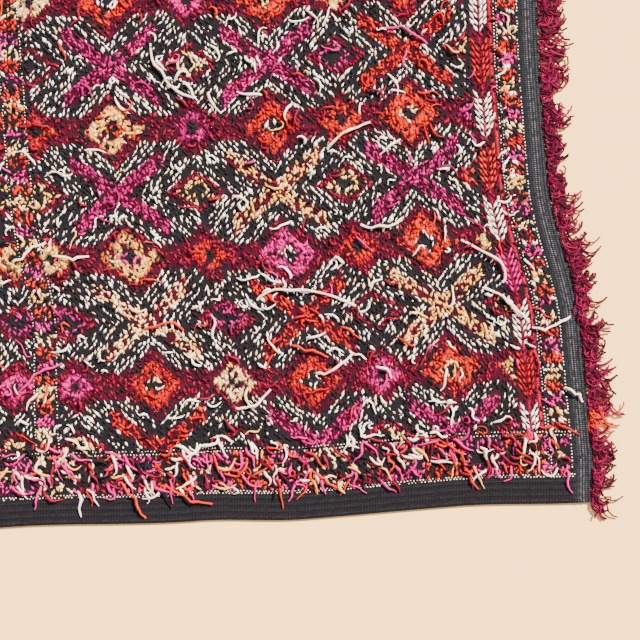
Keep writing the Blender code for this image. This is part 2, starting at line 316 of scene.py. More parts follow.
def to_light(value):
    """Screen values from 0 to 255 as amounts of light."""
    value = np.asarray(value, float) / 255.0
    return np.where(value <= 0.04045, value / 12.92, ((value + 0.055) / 1.055) ** 2.4)


YARN_LIGHT = to_light(list(YARN_COLOURS.values()))


def opaque(colours):
    """Colours with a full alpha added."""
    return np.hstack([colours, np.ones((len(colours), 1))])


def yarn_colours(yarns, chance, spread):
    """Colour of each yarn in a list of yarn numbers, each a little lighter or darker."""
    shade = 1.0 + chance.uniform(-spread, spread, (len(yarns), 1))
    tint = 1.0 + chance.uniform(-spread / 3, spread / 3, (len(yarns), 3))
    return opaque(np.clip(YARN_LIGHT[yarns] * shade * tint, 0.0, 1.0))


def drawn_yarns(mix, count, chance):
    """Yarn numbers drawn from a mix of names and shares."""
    return chance.choice([YARN[name] for name, _ in mix], count, p=[share for _, share in mix])


print(len(YARN), "yarns")

# %% [markdown]
# ## The chart of the weave
# A weaver counts the motifs off a chart. Rows of big crosses alternate with rows of big diamonds,
# and smaller diamonds sit between the columns. It could be an image, but a rule is lighter and
# stays sharp: each motif is one distance formula round its centre, and the rows repeat the rule.

# %% Places of the bands and of the lattice
DOT_COLUMN = 0.0305
SMALL_MOTIFS = (0.033, 0.060)
TWIN_DOTS = (0.0615, 0.0655)
STRIPE = (0.067, 0.0745)
FEATHERS = (0.0745, 0.102)
FIELD_EDGE = 0.107
END_DOTS = (0.0402, 0.0432)
END_MOTIFS = (0.045, 0.101)
END_INNER_DOTS = (0.1025, 0.1075)
FIELD_END = 0.110

BIG_COLUMNS = (0.181, 0.418, 0.655, 0.861, 1.067)
CROSS_ROW = 0.110
DIAMOND_ROW = 0.206
ROW_PITCH = 0.192

# along, middle of the narrow column of small motifs that divides the field
DIVIDER = ((0.00, 0.247), (0.10, 0.250), (0.45, 0.273), (0.62, 0.272), (0.95, 0.262), (LENGTH, 0.258))
DIVIDER_HALF = 0.0145
print("big motifs in columns at", BIG_COLUMNS)

# %% Yarns of the motifs, one row of the table to a row of the rug, repeated up the rug
BIG_RINGS = (("red", "red", "orange"), ("gold", "pink", "orange"), ("gold", "red", "orange"))
BIG_CENTRES = (("cream", "white", "gold"), ("pink", "white", "white"), ("orange", "white", "cream"))
CROSSES = (("red", "magenta", "magenta"), ("cream", "red", "gold"), ("magenta", "gold", "magenta"))
SMALL_RINGS = (
    ("pink", "cream", "pink", "gold"),
    ("gold", "red", "red", "gold"),
    ("red", "magenta", "orange", "pink"),
)
MEDIUM_RINGS = (
    ("gold", "white", "cream", "pink"),
    ("magenta", "magenta", "white", "gold"),
    ("gold", "gold", "gold", "red"),
)
FEATHER_YARNS = ("red", "white", "pink", "white", "orange", "white")
SMALL_MOTIF_YARNS = ("pink", "orange", "gold", "orange", "pink", "red", "cream")
END_MOTIF_YARNS = ("red", "pink", "orange", "pink", "cream", "crimson", "pink")
print("the tables shift after", len(BIG_RINGS), "rows")


# %% Read the tables and paint with them
def table_yarns(table, row, column):
    """Yarn numbers from a table, shifted a column for each full repeat of its rows."""
    numbers = np.array([[YARN[name] for name in line] for line in table])
    rows, columns = numbers.shape
    row = row.astype(int)
    return numbers[row % rows, (column.astype(int) + row // rows) % columns]


def cycled(names, number):
    """Yarn numbers from a list of names that repeats."""
    return np.array([YARN[name] for name in names])[number % len(names)]


def paint(layers, inside, *values):
    """Sets the ground yarn, the upper yarn and its cover inside a motif."""
    for layer, value in zip(layers, values):
        layer[inside] = np.broadcast_to(value, layer.shape)[inside]


# %% Sizes and covers of the motifs
CROSS_SLOPE = 0.75
CROSS_REACH = 0.070
CROSS_HALF = 0.0105
ARM_COVER = 0.96
BIG_HALF = (0.058, 0.052)
SMALL_HALF = (0.034, 0.031)
MEDIUM_HALF = (0.046, 0.031)
LINK_HALF = 0.020
LINK_OUTLINE = 0.005
BIG_GROUND = 1.10
SMALL_GROUND = 1.45
OUTLINE_STEP = 0.20
RING_COVER = 0.86
BELT_COVER = 0.42
SPECK_COVER = 0.98
SPECK_ROW_PITCH = 0.0115
SPECK_ROW_FLOOR = 0.34
DARK_STRIP = 0.050
DARK_STRIP_COVER = 0.25

# edges of the rings, as shares of the motif's own size, from outside to inside
MEDIUM_EDGES = (1.0, 0.72, 0.30)
MEDIUM_RIM_COVER = 0.80
SMALL_EDGES = (1.0, 0.86, 0.36)
BIG_EDGES = (0.90, 0.84, 0.74, 0.32, 0.13)
BIG_CENTRE_COVER = 0.80
print("the arms of a cross reach", CROSS_REACH, "m to each side")


# %% Where the columns and rows of motifs are
def lattice(across, along):
    """Column place, with whole numbers on the big motifs, and the local distance between columns.

    Left of the divider the field is its own mirror image.
    """
    divider = read_table(DIVIDER, along)
    across = np.where(across < divider, 2.0 * divider - across, across)
    columns = np.array(BIG_COLUMNS)
    place = np.interp(across, columns, np.arange(len(columns)))
    step = np.diff(columns)[np.clip(place.astype(int), 0, len(columns) - 2)]
    return place, step


def nearest_row(along, first):
    """Number of the nearest row of motifs, and the distance from its middle."""
    row = np.round((along - first) / ROW_PITCH)
    return row, np.abs(along - first - row * ROW_PITCH)


def diamond(right, up, half):
    return right / half[0] + up / half[1]


# %% One distance formula for each motif
def field_chart(across, along):
    """Ground yarn, upper yarn and cover of the upper yarn in the field of the rug."""
    place, step = lattice(across, along)
    big_column = np.round(place)
    mid_column = np.floor(place)
    to_big = np.abs(place - big_column) * step
    to_mid = np.abs(place - mid_column - 0.5) * step
    cross_row, to_cross = nearest_row(along, CROSS_ROW)
    diamond_row, to_diamond = nearest_row(along, DIAMOND_ROW)
    big_index = np.clip(big_column - 1, 0, 2)
    big = diamond(to_big, to_diamond, BIG_HALF)
    small = diamond(to_mid, to_diamond, SMALL_HALF)
    medium = diamond(to_mid, to_cross, MEDIUM_HALF)

    off_arm = np.abs(to_cross - CROSS_SLOPE * to_big) / math.hypot(1.0, CROSS_SLOPE)
    in_row = np.cos(np.pi * (off_arm - CROSS_HALF) / SPECK_ROW_PITCH) ** 2
    cover = SPECK_COVER * (SPECK_ROW_FLOOR + (1.0 - SPECK_ROW_FLOOR) * in_row)
    outline = (big < BIG_GROUND + OUTLINE_STEP) | (small < SMALL_GROUND + OUTLINE_STEP)
    cover[outline | (to_diamond < LINK_HALF + LINK_OUTLINE)] = 1.0
    from_border = to_edges(across, along)[1] - FIELD_END
    cover = cover * (DARK_STRIP_COVER + (1.0 - DARK_STRIP_COVER) * soft_step(from_border / DARK_STRIP))
    layers = (np.full(across.shape, BLACK), np.full(across.shape, WHITE), cover)
    belt = (to_diamond < LINK_HALF) | (big < BIG_GROUND) | (small < SMALL_GROUND)
    paint(layers, belt, MAROON, CRIMSON, BELT_COVER)

    rim, ring, hole = MEDIUM_EDGES
    paint(layers, medium < rim, MAROON, CRIMSON, MEDIUM_RIM_COVER)
    paint(layers, medium < ring, BLACK, table_yarns(MEDIUM_RINGS, cross_row, mid_column), RING_COVER)
    paint(layers, medium < hole, BLACK, BLACK, 0.0)

    rim, ring, hole = SMALL_EDGES
    yarns = table_yarns(SMALL_RINGS, diamond_row, mid_column)
    paint(layers, small < rim, MAROON, DARKER[yarns], RING_COVER)
    paint(layers, small < ring, yarns, yarns, RING_COVER)
    paint(layers, small < hole, BLACK, BLACK, 0.0)

    line, rim, ring, centre, hole = BIG_EDGES
    yarns = table_yarns(BIG_RINGS, diamond_row, big_index)
    paint(layers, (big > rim) & (big < line), BLACK, BLACK, 0.0)
    paint(layers, big < rim, MAROON, DARKER[yarns], RING_COVER)
    paint(layers, big < ring, yarns, yarns, RING_COVER)
    paint(layers, big < centre, BLACK, table_yarns(BIG_CENTRES, diamond_row, big_index), BIG_CENTRE_COVER)
    paint(layers, big < hole, BLACK, BLACK, 0.0)

    arm = (off_arm < CROSS_HALF) & (to_big < CROSS_REACH)
    paint(layers, arm, MAROON, table_yarns(CROSSES, cross_row, big_index), ARM_COVER)
    return layers


print("a row of diamonds every", ROW_PITCH, "m")

# %% [markdown]
# ## The borders on the chart
# From the side inward the rug has a grey selvedge, a dotted line, a column of small coloured
# motifs, twin dotted lines, a crimson stripe and a column of feathers. The ends have a black ribbed
# band and one row of coloured blocks between dotted rows.

# %% Sizes and covers in the borders
SMALL_PITCH = 0.0205
SMALL_MIDDLE = 0.55
SMALL_STRETCH = 1.7
SMALL_LINE = 0.14
SMALL_OUTLINE = (0.30, 1.36)
SMALL_FILL_COVER = 0.60
BLOCK_PITCH = 0.058
BLOCK_LINE = 0.12
BLOCK_EDGES = (0.50, 0.70)
BLOCK_COVERS = (0.45, 0.80, 0.12)
FEATHER_PITCH = 0.0785
FEATHER_START = 0.158
STEM_HALF = 0.0022
EDGE_COVER = 0.30
DIVIDER_DARK = 1.25
# share of the rib height above which the end band's ribs get a painted highlight
CREST_SHARE = 0.6
print("small motifs a side:", int(LENGTH / SMALL_PITCH))


# %% Small motifs and end blocks
def small_motif_chart(aside, along):
    """A small diamond outline to each pitch, in a cycle of yarns, with a pale line between."""
    number = np.floor(along / SMALL_PITCH).astype(int)
    up = along / SMALL_PITCH - number
    ring = np.abs(up - SMALL_MIDDLE) * SMALL_STRETCH + aside
    line = up < SMALL_LINE
    upper = np.where(line, WHITE, cycled(SMALL_MOTIF_YARNS, number))
    full = line | ((ring > SMALL_OUTLINE[0]) & (ring < SMALL_OUTLINE[1]))
    return BLACK, upper, np.where(full, 1.0, SMALL_FILL_COVER)


def end_motif_chart(from_end, across):
    """Blocks of a coloured outline round black, with a dotted row at mid height."""
    number = np.floor(across / BLOCK_PITCH).astype(int)
    aside = np.abs(across / BLOCK_PITCH - number - 0.5) * 2.0
    middle = (END_MOTIFS[0] + END_MOTIFS[1]) / 2
    away = np.abs(from_end - middle) / (END_MOTIFS[1] - middle)
    line = away < BLOCK_LINE
    upper = np.where(line, YARN["cream"], cycled(END_MOTIF_YARNS, number))
    rim = (away > BLOCK_EDGES[0]) | (aside > BLOCK_EDGES[1])
    dotted, bright, dim = BLOCK_COVERS
    return BLACK, upper, np.where(line, dotted, np.where(rim, bright, dim))


# %% The whole chart
def chart(across, along):
    """Ground yarn, upper yarn and cover anywhere on the rug."""
    across = np.asarray(across, float)
    along = np.asarray(along, float)
    from_side, from_end = to_edges(across, along)
    layers = field_chart(across, along)

    def plain(inside, name):
        paint(layers, inside, YARN[name], YARN[name], 0.0)

    from_divider = np.abs(across - read_table(DIVIDER, along)) / DIVIDER_HALF
    plain(from_divider < DIVIDER_DARK, "black")
    paint(layers, from_divider < 1.0, *small_motif_chart(from_divider, along))
    paint(layers, from_side < FIELD_EDGE, BLACK, CRIMSON, EDGE_COVER)
    paint(layers, from_side < FEATHERS[1], MAROON, BLACK, 0.0)
    plain(np.abs(from_side - sum(FEATHERS) / 2) < STEM_HALF, "crimson")
    plain(from_side < STRIPE[1], "scarlet")
    plain(from_side < STRIPE[0], "black")
    small = (from_side > SMALL_MOTIFS[0]) & (from_side < SMALL_MOTIFS[1])
    middle = sum(SMALL_MOTIFS) / 2
    aside = np.abs(from_side - middle) / (SMALL_MOTIFS[1] - middle)
    paint(layers, small, *small_motif_chart(aside, along))
    plain((from_end < FIELD_END) & (from_side > SMALL_MOTIFS[0]), "black")
    blocks = (from_end > END_MOTIFS[0]) & (from_end < END_MOTIFS[1]) & (from_side > SMALL_MOTIFS[0])
    paint(layers, blocks, *end_motif_chart(from_end, across))
    plain(from_end < END_BAND, "black")
    # the crests of the end band's ribs get slate as a painted highlight, and the valleys stay black
    plain(rib_height(from_end, END_BAND, END_RIBS) > CREST_SHARE * RIB_HEIGHT, "slate")
    plain(from_side < SELVEDGE, "slate")
    return layers


print("ground, upper yarn and cover at one place:", [float(layer[0]) for layer in chart([0.5], [1.2])])

# %% [markdown]
# ## Wool material
# Wool is matt and fuzzy: light catches loose fibres at the edge, so it has sheen and hardly any
# gloss. The colour comes from the yarn attribute. Fine noise on object coordinates breaks it up,
# and the same noise drives a bump. An image would stretch where the cloth puckers.

# %% Helpers for nodes
def add_node(tree, kind, inputs, **settings):
    """A node with its settings. Each input gets a fixed value, or a link from a socket."""
    node = tree.nodes.new(kind)
    for name, value in settings.items():
        setattr(node, name, value)
    for socket, value in inputs.items():
        if isinstance(value, bpy.types.NodeSocket):
            tree.links.new(value, node.inputs[socket])
        else:
            node.inputs[socket].default_value = value
    return node


def multiplied(tree, *sources):
    """A socket with the product of sockets and numbers."""
    product = sources[0]
    for source in sources[1:]:
        node = add_node(tree, "ShaderNodeMath", {0: product, 1: source}, operation="MULTIPLY")
        product = node.outputs["Value"]
    return product


def mapped(tree, source, low_high, new_low_high):
    """A socket whose values are mapped from one range to another."""
    ranges = zip(("From Min", "From Max", "To Min", "To Max"), (*low_high, *new_low_high))
    return add_node(tree, "ShaderNodeMapRange", {"Value": source, **dict(ranges)}).outputs["Result"]


def noise(tree, scale, detail):
    """Noise on object coordinates."""
    place = add_node(tree, "ShaderNodeTexCoord", {})
    return add_node(tree, "ShaderNodeTexNoise", {
        "Vector": place.outputs["Object"], "Scale": scale, "Detail": detail}).outputs["Fac"]


def wave_along(tree, socket, pitch):
    """A smooth wave from 0 to 1, one to each pitch, along a distance in metres."""
    turn = multiplied(tree, socket, 2.0 * math.pi / pitch)
    sine = add_node(tree, "ShaderNodeMath", {0: turn}, operation="SINE").outputs["Value"]
    return mapped(tree, sine, (-1.0, 1.0), (0.0, 1.0))


# %% Wool materials
WOOL_ROUGHNESS = 0.90
WOOL_SPECULAR = 0.10
SHEEN_ROUGHNESS = 0.45
FLECK_DETAIL = 3.0
FLECK_RANGE = (0.3, 0.7)
FLECK_BUMP = 0.8

# name, sheen, scale of the flecks, how much they change the colour, depth of the bump
WOOL_KINDS = (
    ("wool_ground", 0.02, 420.0, 0.45, 0.0006),
    ("knot_wool", 0.05, 600.0, 0.12, 0.0003),
    ("dyed_float_wool", 0.02, 500.0, 0.30, 0.0004),
    ("loose_yarn_wool", 0.03, 500.0, 0.18, 0.0005),
    ("crimson_fringe_wool", 0.03, 450.0, 0.30, 0.0005),
)


def wool_material(name, sheen, fleck_scale, fleck_share, bump_distance):
    """A matt wool that takes its colour from the yarn_colour attribute."""
    material = bpy.data.materials.new(name)
    material.use_nodes = True
    tree = material.node_tree
    yarn = add_node(tree, "ShaderNodeAttribute", {}, attribute_name="yarn_colour")
    flecks = noise(tree, fleck_scale, FLECK_DETAIL)
    level = mapped(tree, flecks, FLECK_RANGE, (1.0 - fleck_share, 1.0 + fleck_share))
    shade = add_node(tree, "ShaderNodeVectorMath", {0: yarn.outputs["Color"], "Scale": level},
                     operation="SCALE")
    bump = add_node(tree, "ShaderNodeBump", {
        "Strength": FLECK_BUMP, "Distance": bump_distance, "Height": flecks})
    shader = tree.nodes["Principled BSDF"]
    for title, value in (("Roughness", WOOL_ROUGHNESS), ("Specular IOR Level", WOOL_SPECULAR),
                         ("Sheen Weight", sheen), ("Sheen Roughness", SHEEN_ROUGHNESS)):
        shader.inputs[title].default_value = value
    tree.links.new(shade.outputs["Vector"], shader.inputs["Base Color"])
    tree.links.new(bump.outputs["Normal"], shader.inputs["Normal"])
    return material


WOOL = {kind[0]: wool_material(*kind) for kind in WOOL_KINDS}
print("wool materials:", list(WOOL))

# %% Ground weave on the cloth's own flat places
WEFT_PITCH = 0.0030
WARP_PITCH = 0.0042
WEAVE_DISTANCE = 0.0007
PALE_DOT = to_light((138, 132, 138))
MOTTLE_SCALE = 170.0
MOTTLE_DETAIL = 4.0
MOTTLE_RANGES = (0.38, 0.62), (0.15, 1.6)


def weave_in(material):
    """Raises the ribs of the weave, and sets pale mottled dots in lines along the selvedge."""
    tree = material.node_tree
    shader = tree.nodes["Principled BSDF"]
    flat = add_node(tree, "ShaderNodeAttribute", {}, attribute_name="flat_place")
    parts = add_node(tree, "ShaderNodeSeparateXYZ", {"Vector": flat.outputs["Vector"]}).outputs
    weave = multiplied(tree, wave_along(tree, parts["Y"], WEFT_PITCH),
                       wave_along(tree, parts["X"], WARP_PITCH))
    fuzz = shader.inputs["Normal"].links[0].from_socket
    bump = add_node(tree, "ShaderNodeBump", {
        "Strength": 1.0, "Distance": WEAVE_DISTANCE, "Height": weave, "Normal": fuzz})
    edge = add_node(tree, "ShaderNodeAttribute", {}, attribute_name="selvedge_share")
    patches = mapped(tree, noise(tree, MOTTLE_SCALE, MOTTLE_DETAIL), *MOTTLE_RANGES)
    dots = multiplied(tree, multiplied(tree, weave, weave), edge.outputs["Fac"], patches)
    colour = shader.inputs["Base Color"].links[0].from_socket
    mix = add_node(tree, "ShaderNodeMix", {0: dots, 6: colour, 7: (*PALE_DOT, 1.0)}, data_type="RGBA")
    tree.links.new(mix.outputs[2], shader.inputs["Base Color"])
    tree.links.new(bump.outputs["Normal"], shader.inputs["Normal"])


weave_in(WOOL["wool_ground"])
print("weave of", WARP_PITCH, "by", WEFT_PITCH, "m")

# %% [markdown]
# ## The cloth
# The cloth is one closed sheet, about 6 mm thick. A subdivided plane with a Solidify modifier would
# give it, but then its grid lines wouldn't fall on the ribs. A grid built row by row does: four
# cells to each rib, and cells of about 7 mm in the field, which carry the wrinkles. The underside
# needs far fewer faces, so its cells are four times as wide and meet the fine rim all round.

# %% Grid lines of the cloth
RIB_CELLS = 4
BORDER_CELLS = 20
FIELD_CELLS = 120
ROW_CELLS = 328
COARSE = 4


def spaced(marks, cells):
    """Grid lines between marks, with a number of even cells between each two."""
    lines = [np.linspace(low, high, count, endpoint=False)
             for low, high, count in zip(marks, marks[1:], cells)]
    return np.concatenate(lines + [[marks[-1]]])


SIDE_CELLS = SELVEDGE_RIBS * RIB_CELLS
END_CELLS = END_RIBS * RIB_CELLS
COLUMNS = spaced((0.0, SELVEDGE, FIELD_EDGE, WIDTH - FIELD_EDGE, WIDTH - SELVEDGE, WIDTH),
                 (SIDE_CELLS, BORDER_CELLS, FIELD_CELLS, BORDER_CELLS, SIDE_CELLS))
ROWS = spaced((0.0, END_BAND, LENGTH - END_BAND, LENGTH), (END_CELLS, ROW_CELLS, END_CELLS))
print(len(COLUMNS) - 1, "by", len(ROWS) - 1, "cells")


# %% Faces of the cloth
def top_faces(columns, rows):
    index = np.arange(columns * rows).reshape(rows, columns)
    corners = (index[:-1, :-1], index[:-1, 1:], index[1:, 1:], index[1:, :-1])
    return np.stack(corners, axis=-1).reshape(-1, 4)


def under_faces(columns, rows, foot):
    """Coarse cells below, which take in every place of the rim where they touch it."""
    faces = []
    for row in range(0, rows - 1, COARSE):
        for column in range(0, columns - 1, COARSE):
            right = column + COARSE
            far = row + COARSE
            near_run = range(column, right) if row == 0 else (column,)
            right_run = range(row, far) if right == columns - 1 else (row,)
            far_run = range(right, column, -1) if far == rows - 1 else (right,)
            left_run = range(far, row, -1) if column == 0 else (far,)
            loop = [foot(place, row) for place in near_run]
            loop += [foot(right, place) for place in right_run]
            loop += [foot(place, far) for place in far_run]
            loop += [foot(column, place) for place in left_run]
            faces.append(loop[::-1])
    return faces


# %% Close the sheet
def build_cloth_mesh():
    """The mesh, the flat place of each of its points, and the number of upper faces."""
    columns, rows = len(COLUMNS), len(ROWS)
    across, along = (line.ravel() for line in np.meshgrid(COLUMNS, ROWS))
    x, y = lie_at(across, along)
    places = list(zip(x.tolist(), y.tolist(), cloth_top(across, along).tolist()))
    flats = [np.stack([across, along, np.zeros_like(across)], axis=-1)]
    feet = {}

    def foot(column, row):
        if (column, row) not in feet:
            feet[column, row] = len(places)
            number = row * columns + column
            places.append((float(x[number]), float(y[number]), 0.0))
            flats.append(np.array([[across[number], along[number], 0.0]]))
        return feet[column, row]

    faces = top_faces(columns, rows).tolist()
    upper_count = len(faces)
    faces += under_faces(columns, rows, foot)
    rim = [(column, 0) for column in range(columns - 1)]
    rim += [(columns - 1, row) for row in range(rows - 1)]
    rim += [(column, rows - 1) for column in range(columns - 1, 0, -1)]
    rim += [(0, row) for row in range(rows - 1, 0, -1)]
    for (column, row), (next_column, next_row) in zip(rim, rim[1:] + rim[:1]):
        faces.append((foot(column, row), foot(next_column, next_row),
                      next_row * columns + next_column, row * columns + column))
    mesh = bpy.data.meshes.new("cloth")
    mesh.from_pydata(places, [], faces)
    return mesh, np.concatenate(flats), upper_count


cloth_mesh, cloth_flats, upper_count = build_cloth_mesh()
print("cloth faces:", len(cloth_mesh.polygons))

# %% [markdown]
# The ground takes its yarns from the chart. Under a coloured motif part of it is maroon, as in
# wrapped weave where the warp grins through. The choice is drawn by a seeded generator, so that the
# rug comes out the same each time. The colour is kept at the points and not on the faces, so it
# runs softly from one place to the next, as fuzzy wool does.

# %% Colour the ground from the chart
STITCH_SEED = 12
GROUND_SHOWS = 0.42
GROUND_SPREAD = 0.22
PLUM_SHOWS = 0.45
BLACK_SHOWS = 0.15
PLAIN_YARNS = ("black", "charcoal", "slate", "maroon", "plum", "crimson", "scarlet")
LADDER_PLACES = (0.000, 0.010, 0.012, 0.018, 0.020, SELVEDGE)
LADDER_SHARES = (0.30, 0.22, 0.66, 0.66, 0.20, 0.00)
ATTRIBUTE_KINDS = {"FLOAT": "value", "FLOAT_VECTOR": "vector", "FLOAT_COLOR": "color"}


def add_attributes(mesh, values):
    """Stores values at the points of a mesh, from a table of names with kind and values."""
    for name, (kind, numbers) in values.items():
        flat_numbers = np.ascontiguousarray(numbers, np.float32).ravel()
        mesh.attributes.new(name, kind, "POINT").data.foreach_set(ATTRIBUTE_KINDS[kind], flat_numbers)


def colour_cloth(mesh, flats):
    chance = np.random.default_rng(STITCH_SEED)
    ground, _, _ = chart(flats[:, 0], flats[:, 1])
    bright = ~np.isin(ground, [YARN[name] for name in PLAIN_YARNS])
    ground = np.where(bright & (chance.random(len(ground)) < GROUND_SHOWS), MAROON, ground)
    maroon = ground == MAROON
    draw = chance.random(len(ground))
    ground = np.where(maroon & (draw < PLUM_SHOWS), YARN["plum"], ground)
    ground = np.where(maroon & (draw > 1.0 - BLACK_SHOWS), BLACK, ground)
    from_side, _ = to_edges(flats[:, 0], flats[:, 1])
    add_attributes(mesh, {
        "yarn_colour": ("FLOAT_COLOR", yarn_colours(ground, chance, GROUND_SPREAD)),
        "selvedge_share": ("FLOAT", np.interp(from_side, LADDER_PLACES, LADDER_SHARES)),
        "flat_place": ("FLOAT_VECTOR", flats),
    })


colour_cloth(cloth_mesh, cloth_flats)
cloth_mesh.materials.append(WOOL["wool_ground"])
cloth_mesh.polygons.foreach_set("use_smooth", np.arange(len(cloth_mesh.polygons)) < upper_count)
cloth_mesh.validate()
cloth_mesh.update()
cloth = placed("woven_cloth", cloth_mesh)
print("cloth coloured at", len(cloth_flats), "points")

# %% [markdown]
# ## Knots and floats by Geometry Nodes
# Thousands of short stitches stand on the cloth: white knots as small as rice, and longer dyed
# floats. They could be joined copies of one mesh, but a node tree keeps the recipe in one place.
# Each point carries its heading, size and yarn, and the tree sets one faceted grain on it.

# %% Helpers for geometry trees
def new_tree(name):
    """An empty tree with a geometry input and output, a number of sides and a wool."""
    tree = bpy.data.node_groups.new(name, "GeometryNodeTree")
    tree.is_modifier = True
    for title, way, kind in (("Geometry", "INPUT", "Geometry"), ("Sides", "INPUT", "Int"),
                             ("Wool", "INPUT", "Material"), ("Geometry", "OUTPUT", "Geometry")):
        tree.interface.new_socket(title, in_out=way, socket_type="NodeSocket" + kind)
    return tree, tree.nodes.new("NodeGroupInput").outputs


def named(tree, name, kind):
    """A socket that reads one of the points' attributes."""
    return add_node(tree, "GeometryNodeInputNamedAttribute", {"Name": name},
                    data_type=kind).outputs["Attribute"]


def finish_tree(tree, source, wool):
    """Smooths the faces, realizes the instances and sets the material."""
    smooth = add_node(tree, "GeometryNodeSetShadeSmooth", {"Geometry": source})
    whole = add_node(tree, "GeometryNodeRealizeInstances", {"Geometry": smooth.outputs["Geometry"]})
    painted = add_node(tree, "GeometryNodeSetMaterial", {
        "Geometry": whole.outputs["Geometry"], "Material": wool})
    add_node(tree, "NodeGroupOutput", {"Geometry": painted.outputs["Geometry"]})
    print(tree.name, "has", len(tree.nodes), "nodes")
    return tree


def grown(name, carrier_mesh, tree, sides, wool):
    """Runs a tree on a carrier mesh and keeps the result as a plain mesh object."""
    carrier = placed(name + "_points", carrier_mesh)
    modifier = carrier.modifiers.new(name, "NODES")
    modifier.node_group = tree
    sockets = {item.name: item.identifier for item in tree.interface.items_tree if item.in_out == "INPUT"}
    modifier[sockets["Sides"]] = sides
    modifier[sockets["Wool"]] = WOOL[wool]
    depsgraph = bpy.context.evaluated_depsgraph_get()
    evaluated = carrier.evaluated_get(depsgraph)
    mesh = bpy.data.meshes.new_from_object(evaluated, preserve_all_data_layers=True, depsgraph=depsgraph)
    mesh.name = name
    carrier.modifiers.remove(modifier)
    bpy.data.objects.remove(carrier)
    mesh.calc_loop_triangles()
    print(name, len(mesh.loop_triangles), "triangles")
    return placed(name, mesh)


# %% The tree that sets a grain of yarn on each point
GRAIN_RINGS = 2
GRAIN_SINK = 0.18


def grain_tree():
    tree, given = new_tree("yarn_grains")
    grain = add_node(tree, "GeometryNodeMeshUVSphere", {
        "Radius": 0.5, "Segments": given["Sides"], "Rings": GRAIN_RINGS})
    laid = add_node(tree, "GeometryNodeTransform", {
        "Geometry": grain.outputs["Mesh"], "Rotation": (0.0, -math.pi / 2, 0.0)})
    turn = add_node(tree, "FunctionNodeEulerToRotation", {
        "Euler": named(tree, "heading", "FLOAT_VECTOR")})
    grains = add_node(tree, "GeometryNodeInstanceOnPoints", {
        "Points": given["Geometry"], "Instance": laid.outputs["Geometry"],
        "Rotation": turn.outputs["Rotation"], "Scale": named(tree, "grain_size", "FLOAT_VECTOR")})
    return finish_tree(tree, grains.outputs["Instances"], given["Wool"])


GRAIN_TREE = grain_tree()


def grown_grains(title, grains, chance, spread, sides, wool):
    """Grains of one kind, grown as a near piece and a far piece.

    The grains are flat places, turns, tilts, sizes and yarns.
    """
    near = grains[0][:, 1] < LENGTH / 2
    pieces = []
    for half, chosen in (("near", near), ("far", ~near)):
        name = title + "_" + half
        flats, turns, tilts, sizes, yarns = (column[chosen] for column in grains)
        x, y = lie_at(flats[:, 0], flats[:, 1])
        z = cloth_top(flats[:, 0], flats[:, 1]) + sizes[:, 2] * GRAIN_SINK
        mesh = bpy.data.meshes.new(name + "_points")
        mesh.from_pydata(np.stack([x, y, z], axis=-1).tolist(), [], [])
        add_attributes(mesh, {
            "heading": ("FLOAT_VECTOR", np.stack([np.zeros(len(turns)), tilts, turns], axis=-1)),
            "grain_size": ("FLOAT_VECTOR", sizes),
            "yarn_colour": ("FLOAT_COLOR", yarn_colours(yarns, chance, spread)),
        })
        pieces.append(grown(name, mesh, GRAIN_TREE, sides, wool))
    return pieces


# %% [markdown]
# ### Where the stitches go
# The loom gives a regular pitch, so the stitches start from a jittered grid. White knots take every
# second place of the grid in the black zones, thicker in rows beside the arms of the crosses and
# in the outlines. Dyed floats take the coloured zones, and dark stitches most of what is left.

# %% Stitch grid over the whole rug
STITCH_PITCH = 0.0048
STITCH_JITTER = 0.36
SWELL_COVER = (0.90, 0.18)
KNOT_SEED = 7


def stitch_grid(chance):
    across_count = int((WIDTH - 2 * SMALL_MOTIFS[0]) / STITCH_PITCH)
    along_count = int((LENGTH - 2 * END_MOTIFS[0]) / STITCH_PITCH)
    column, row = (line.ravel() for line in np.meshgrid(np.arange(across_count), np.arange(along_count)))
    across = SMALL_MOTIFS[0] + (column + 0.5) * STITCH_PITCH
    along = END_MOTIFS[0] + (row + 0.5) * STITCH_PITCH
    jitter = chance.uniform(-STITCH_JITTER, STITCH_JITTER, (2, len(across))) * STITCH_PITCH
    return (column + row) % 2 == 0, np.stack([across + jitter[0], along + jitter[1]], axis=-1)


knot_chance = np.random.default_rng(KNOT_SEED)
checker, stitch_flats = stitch_grid(knot_chance)
stitch_ground, stitch_yarn, stitch_cover = chart(stitch_flats[:, 0], stitch_flats[:, 1])
stitch_swell = wrinkle_height(stitch_flats[:, 0], stitch_flats[:, 1]) / WRINKLE_HEIGHT
stitch_cover = stitch_cover * (SWELL_COVER[0] + SWELL_COVER[1] * stitch_swell)
drawn = knot_chance.random(len(stitch_cover)) < stitch_cover
inner = to_edges(stitch_flats[:, 0], stitch_flats[:, 1])[0] > FIELD_EDGE
pale = (stitch_yarn == WHITE) & inner
is_knot = drawn & checker & pale
print("white knots:", int(is_knot.sum()))

# %% Dotted lines along the sides, the divider and the ends
DOT_PITCH = 0.0048
DOT_KEEP = 0.88
DOT_SHIFT = 0.00035
DIVIDER_DOTS = 1.15


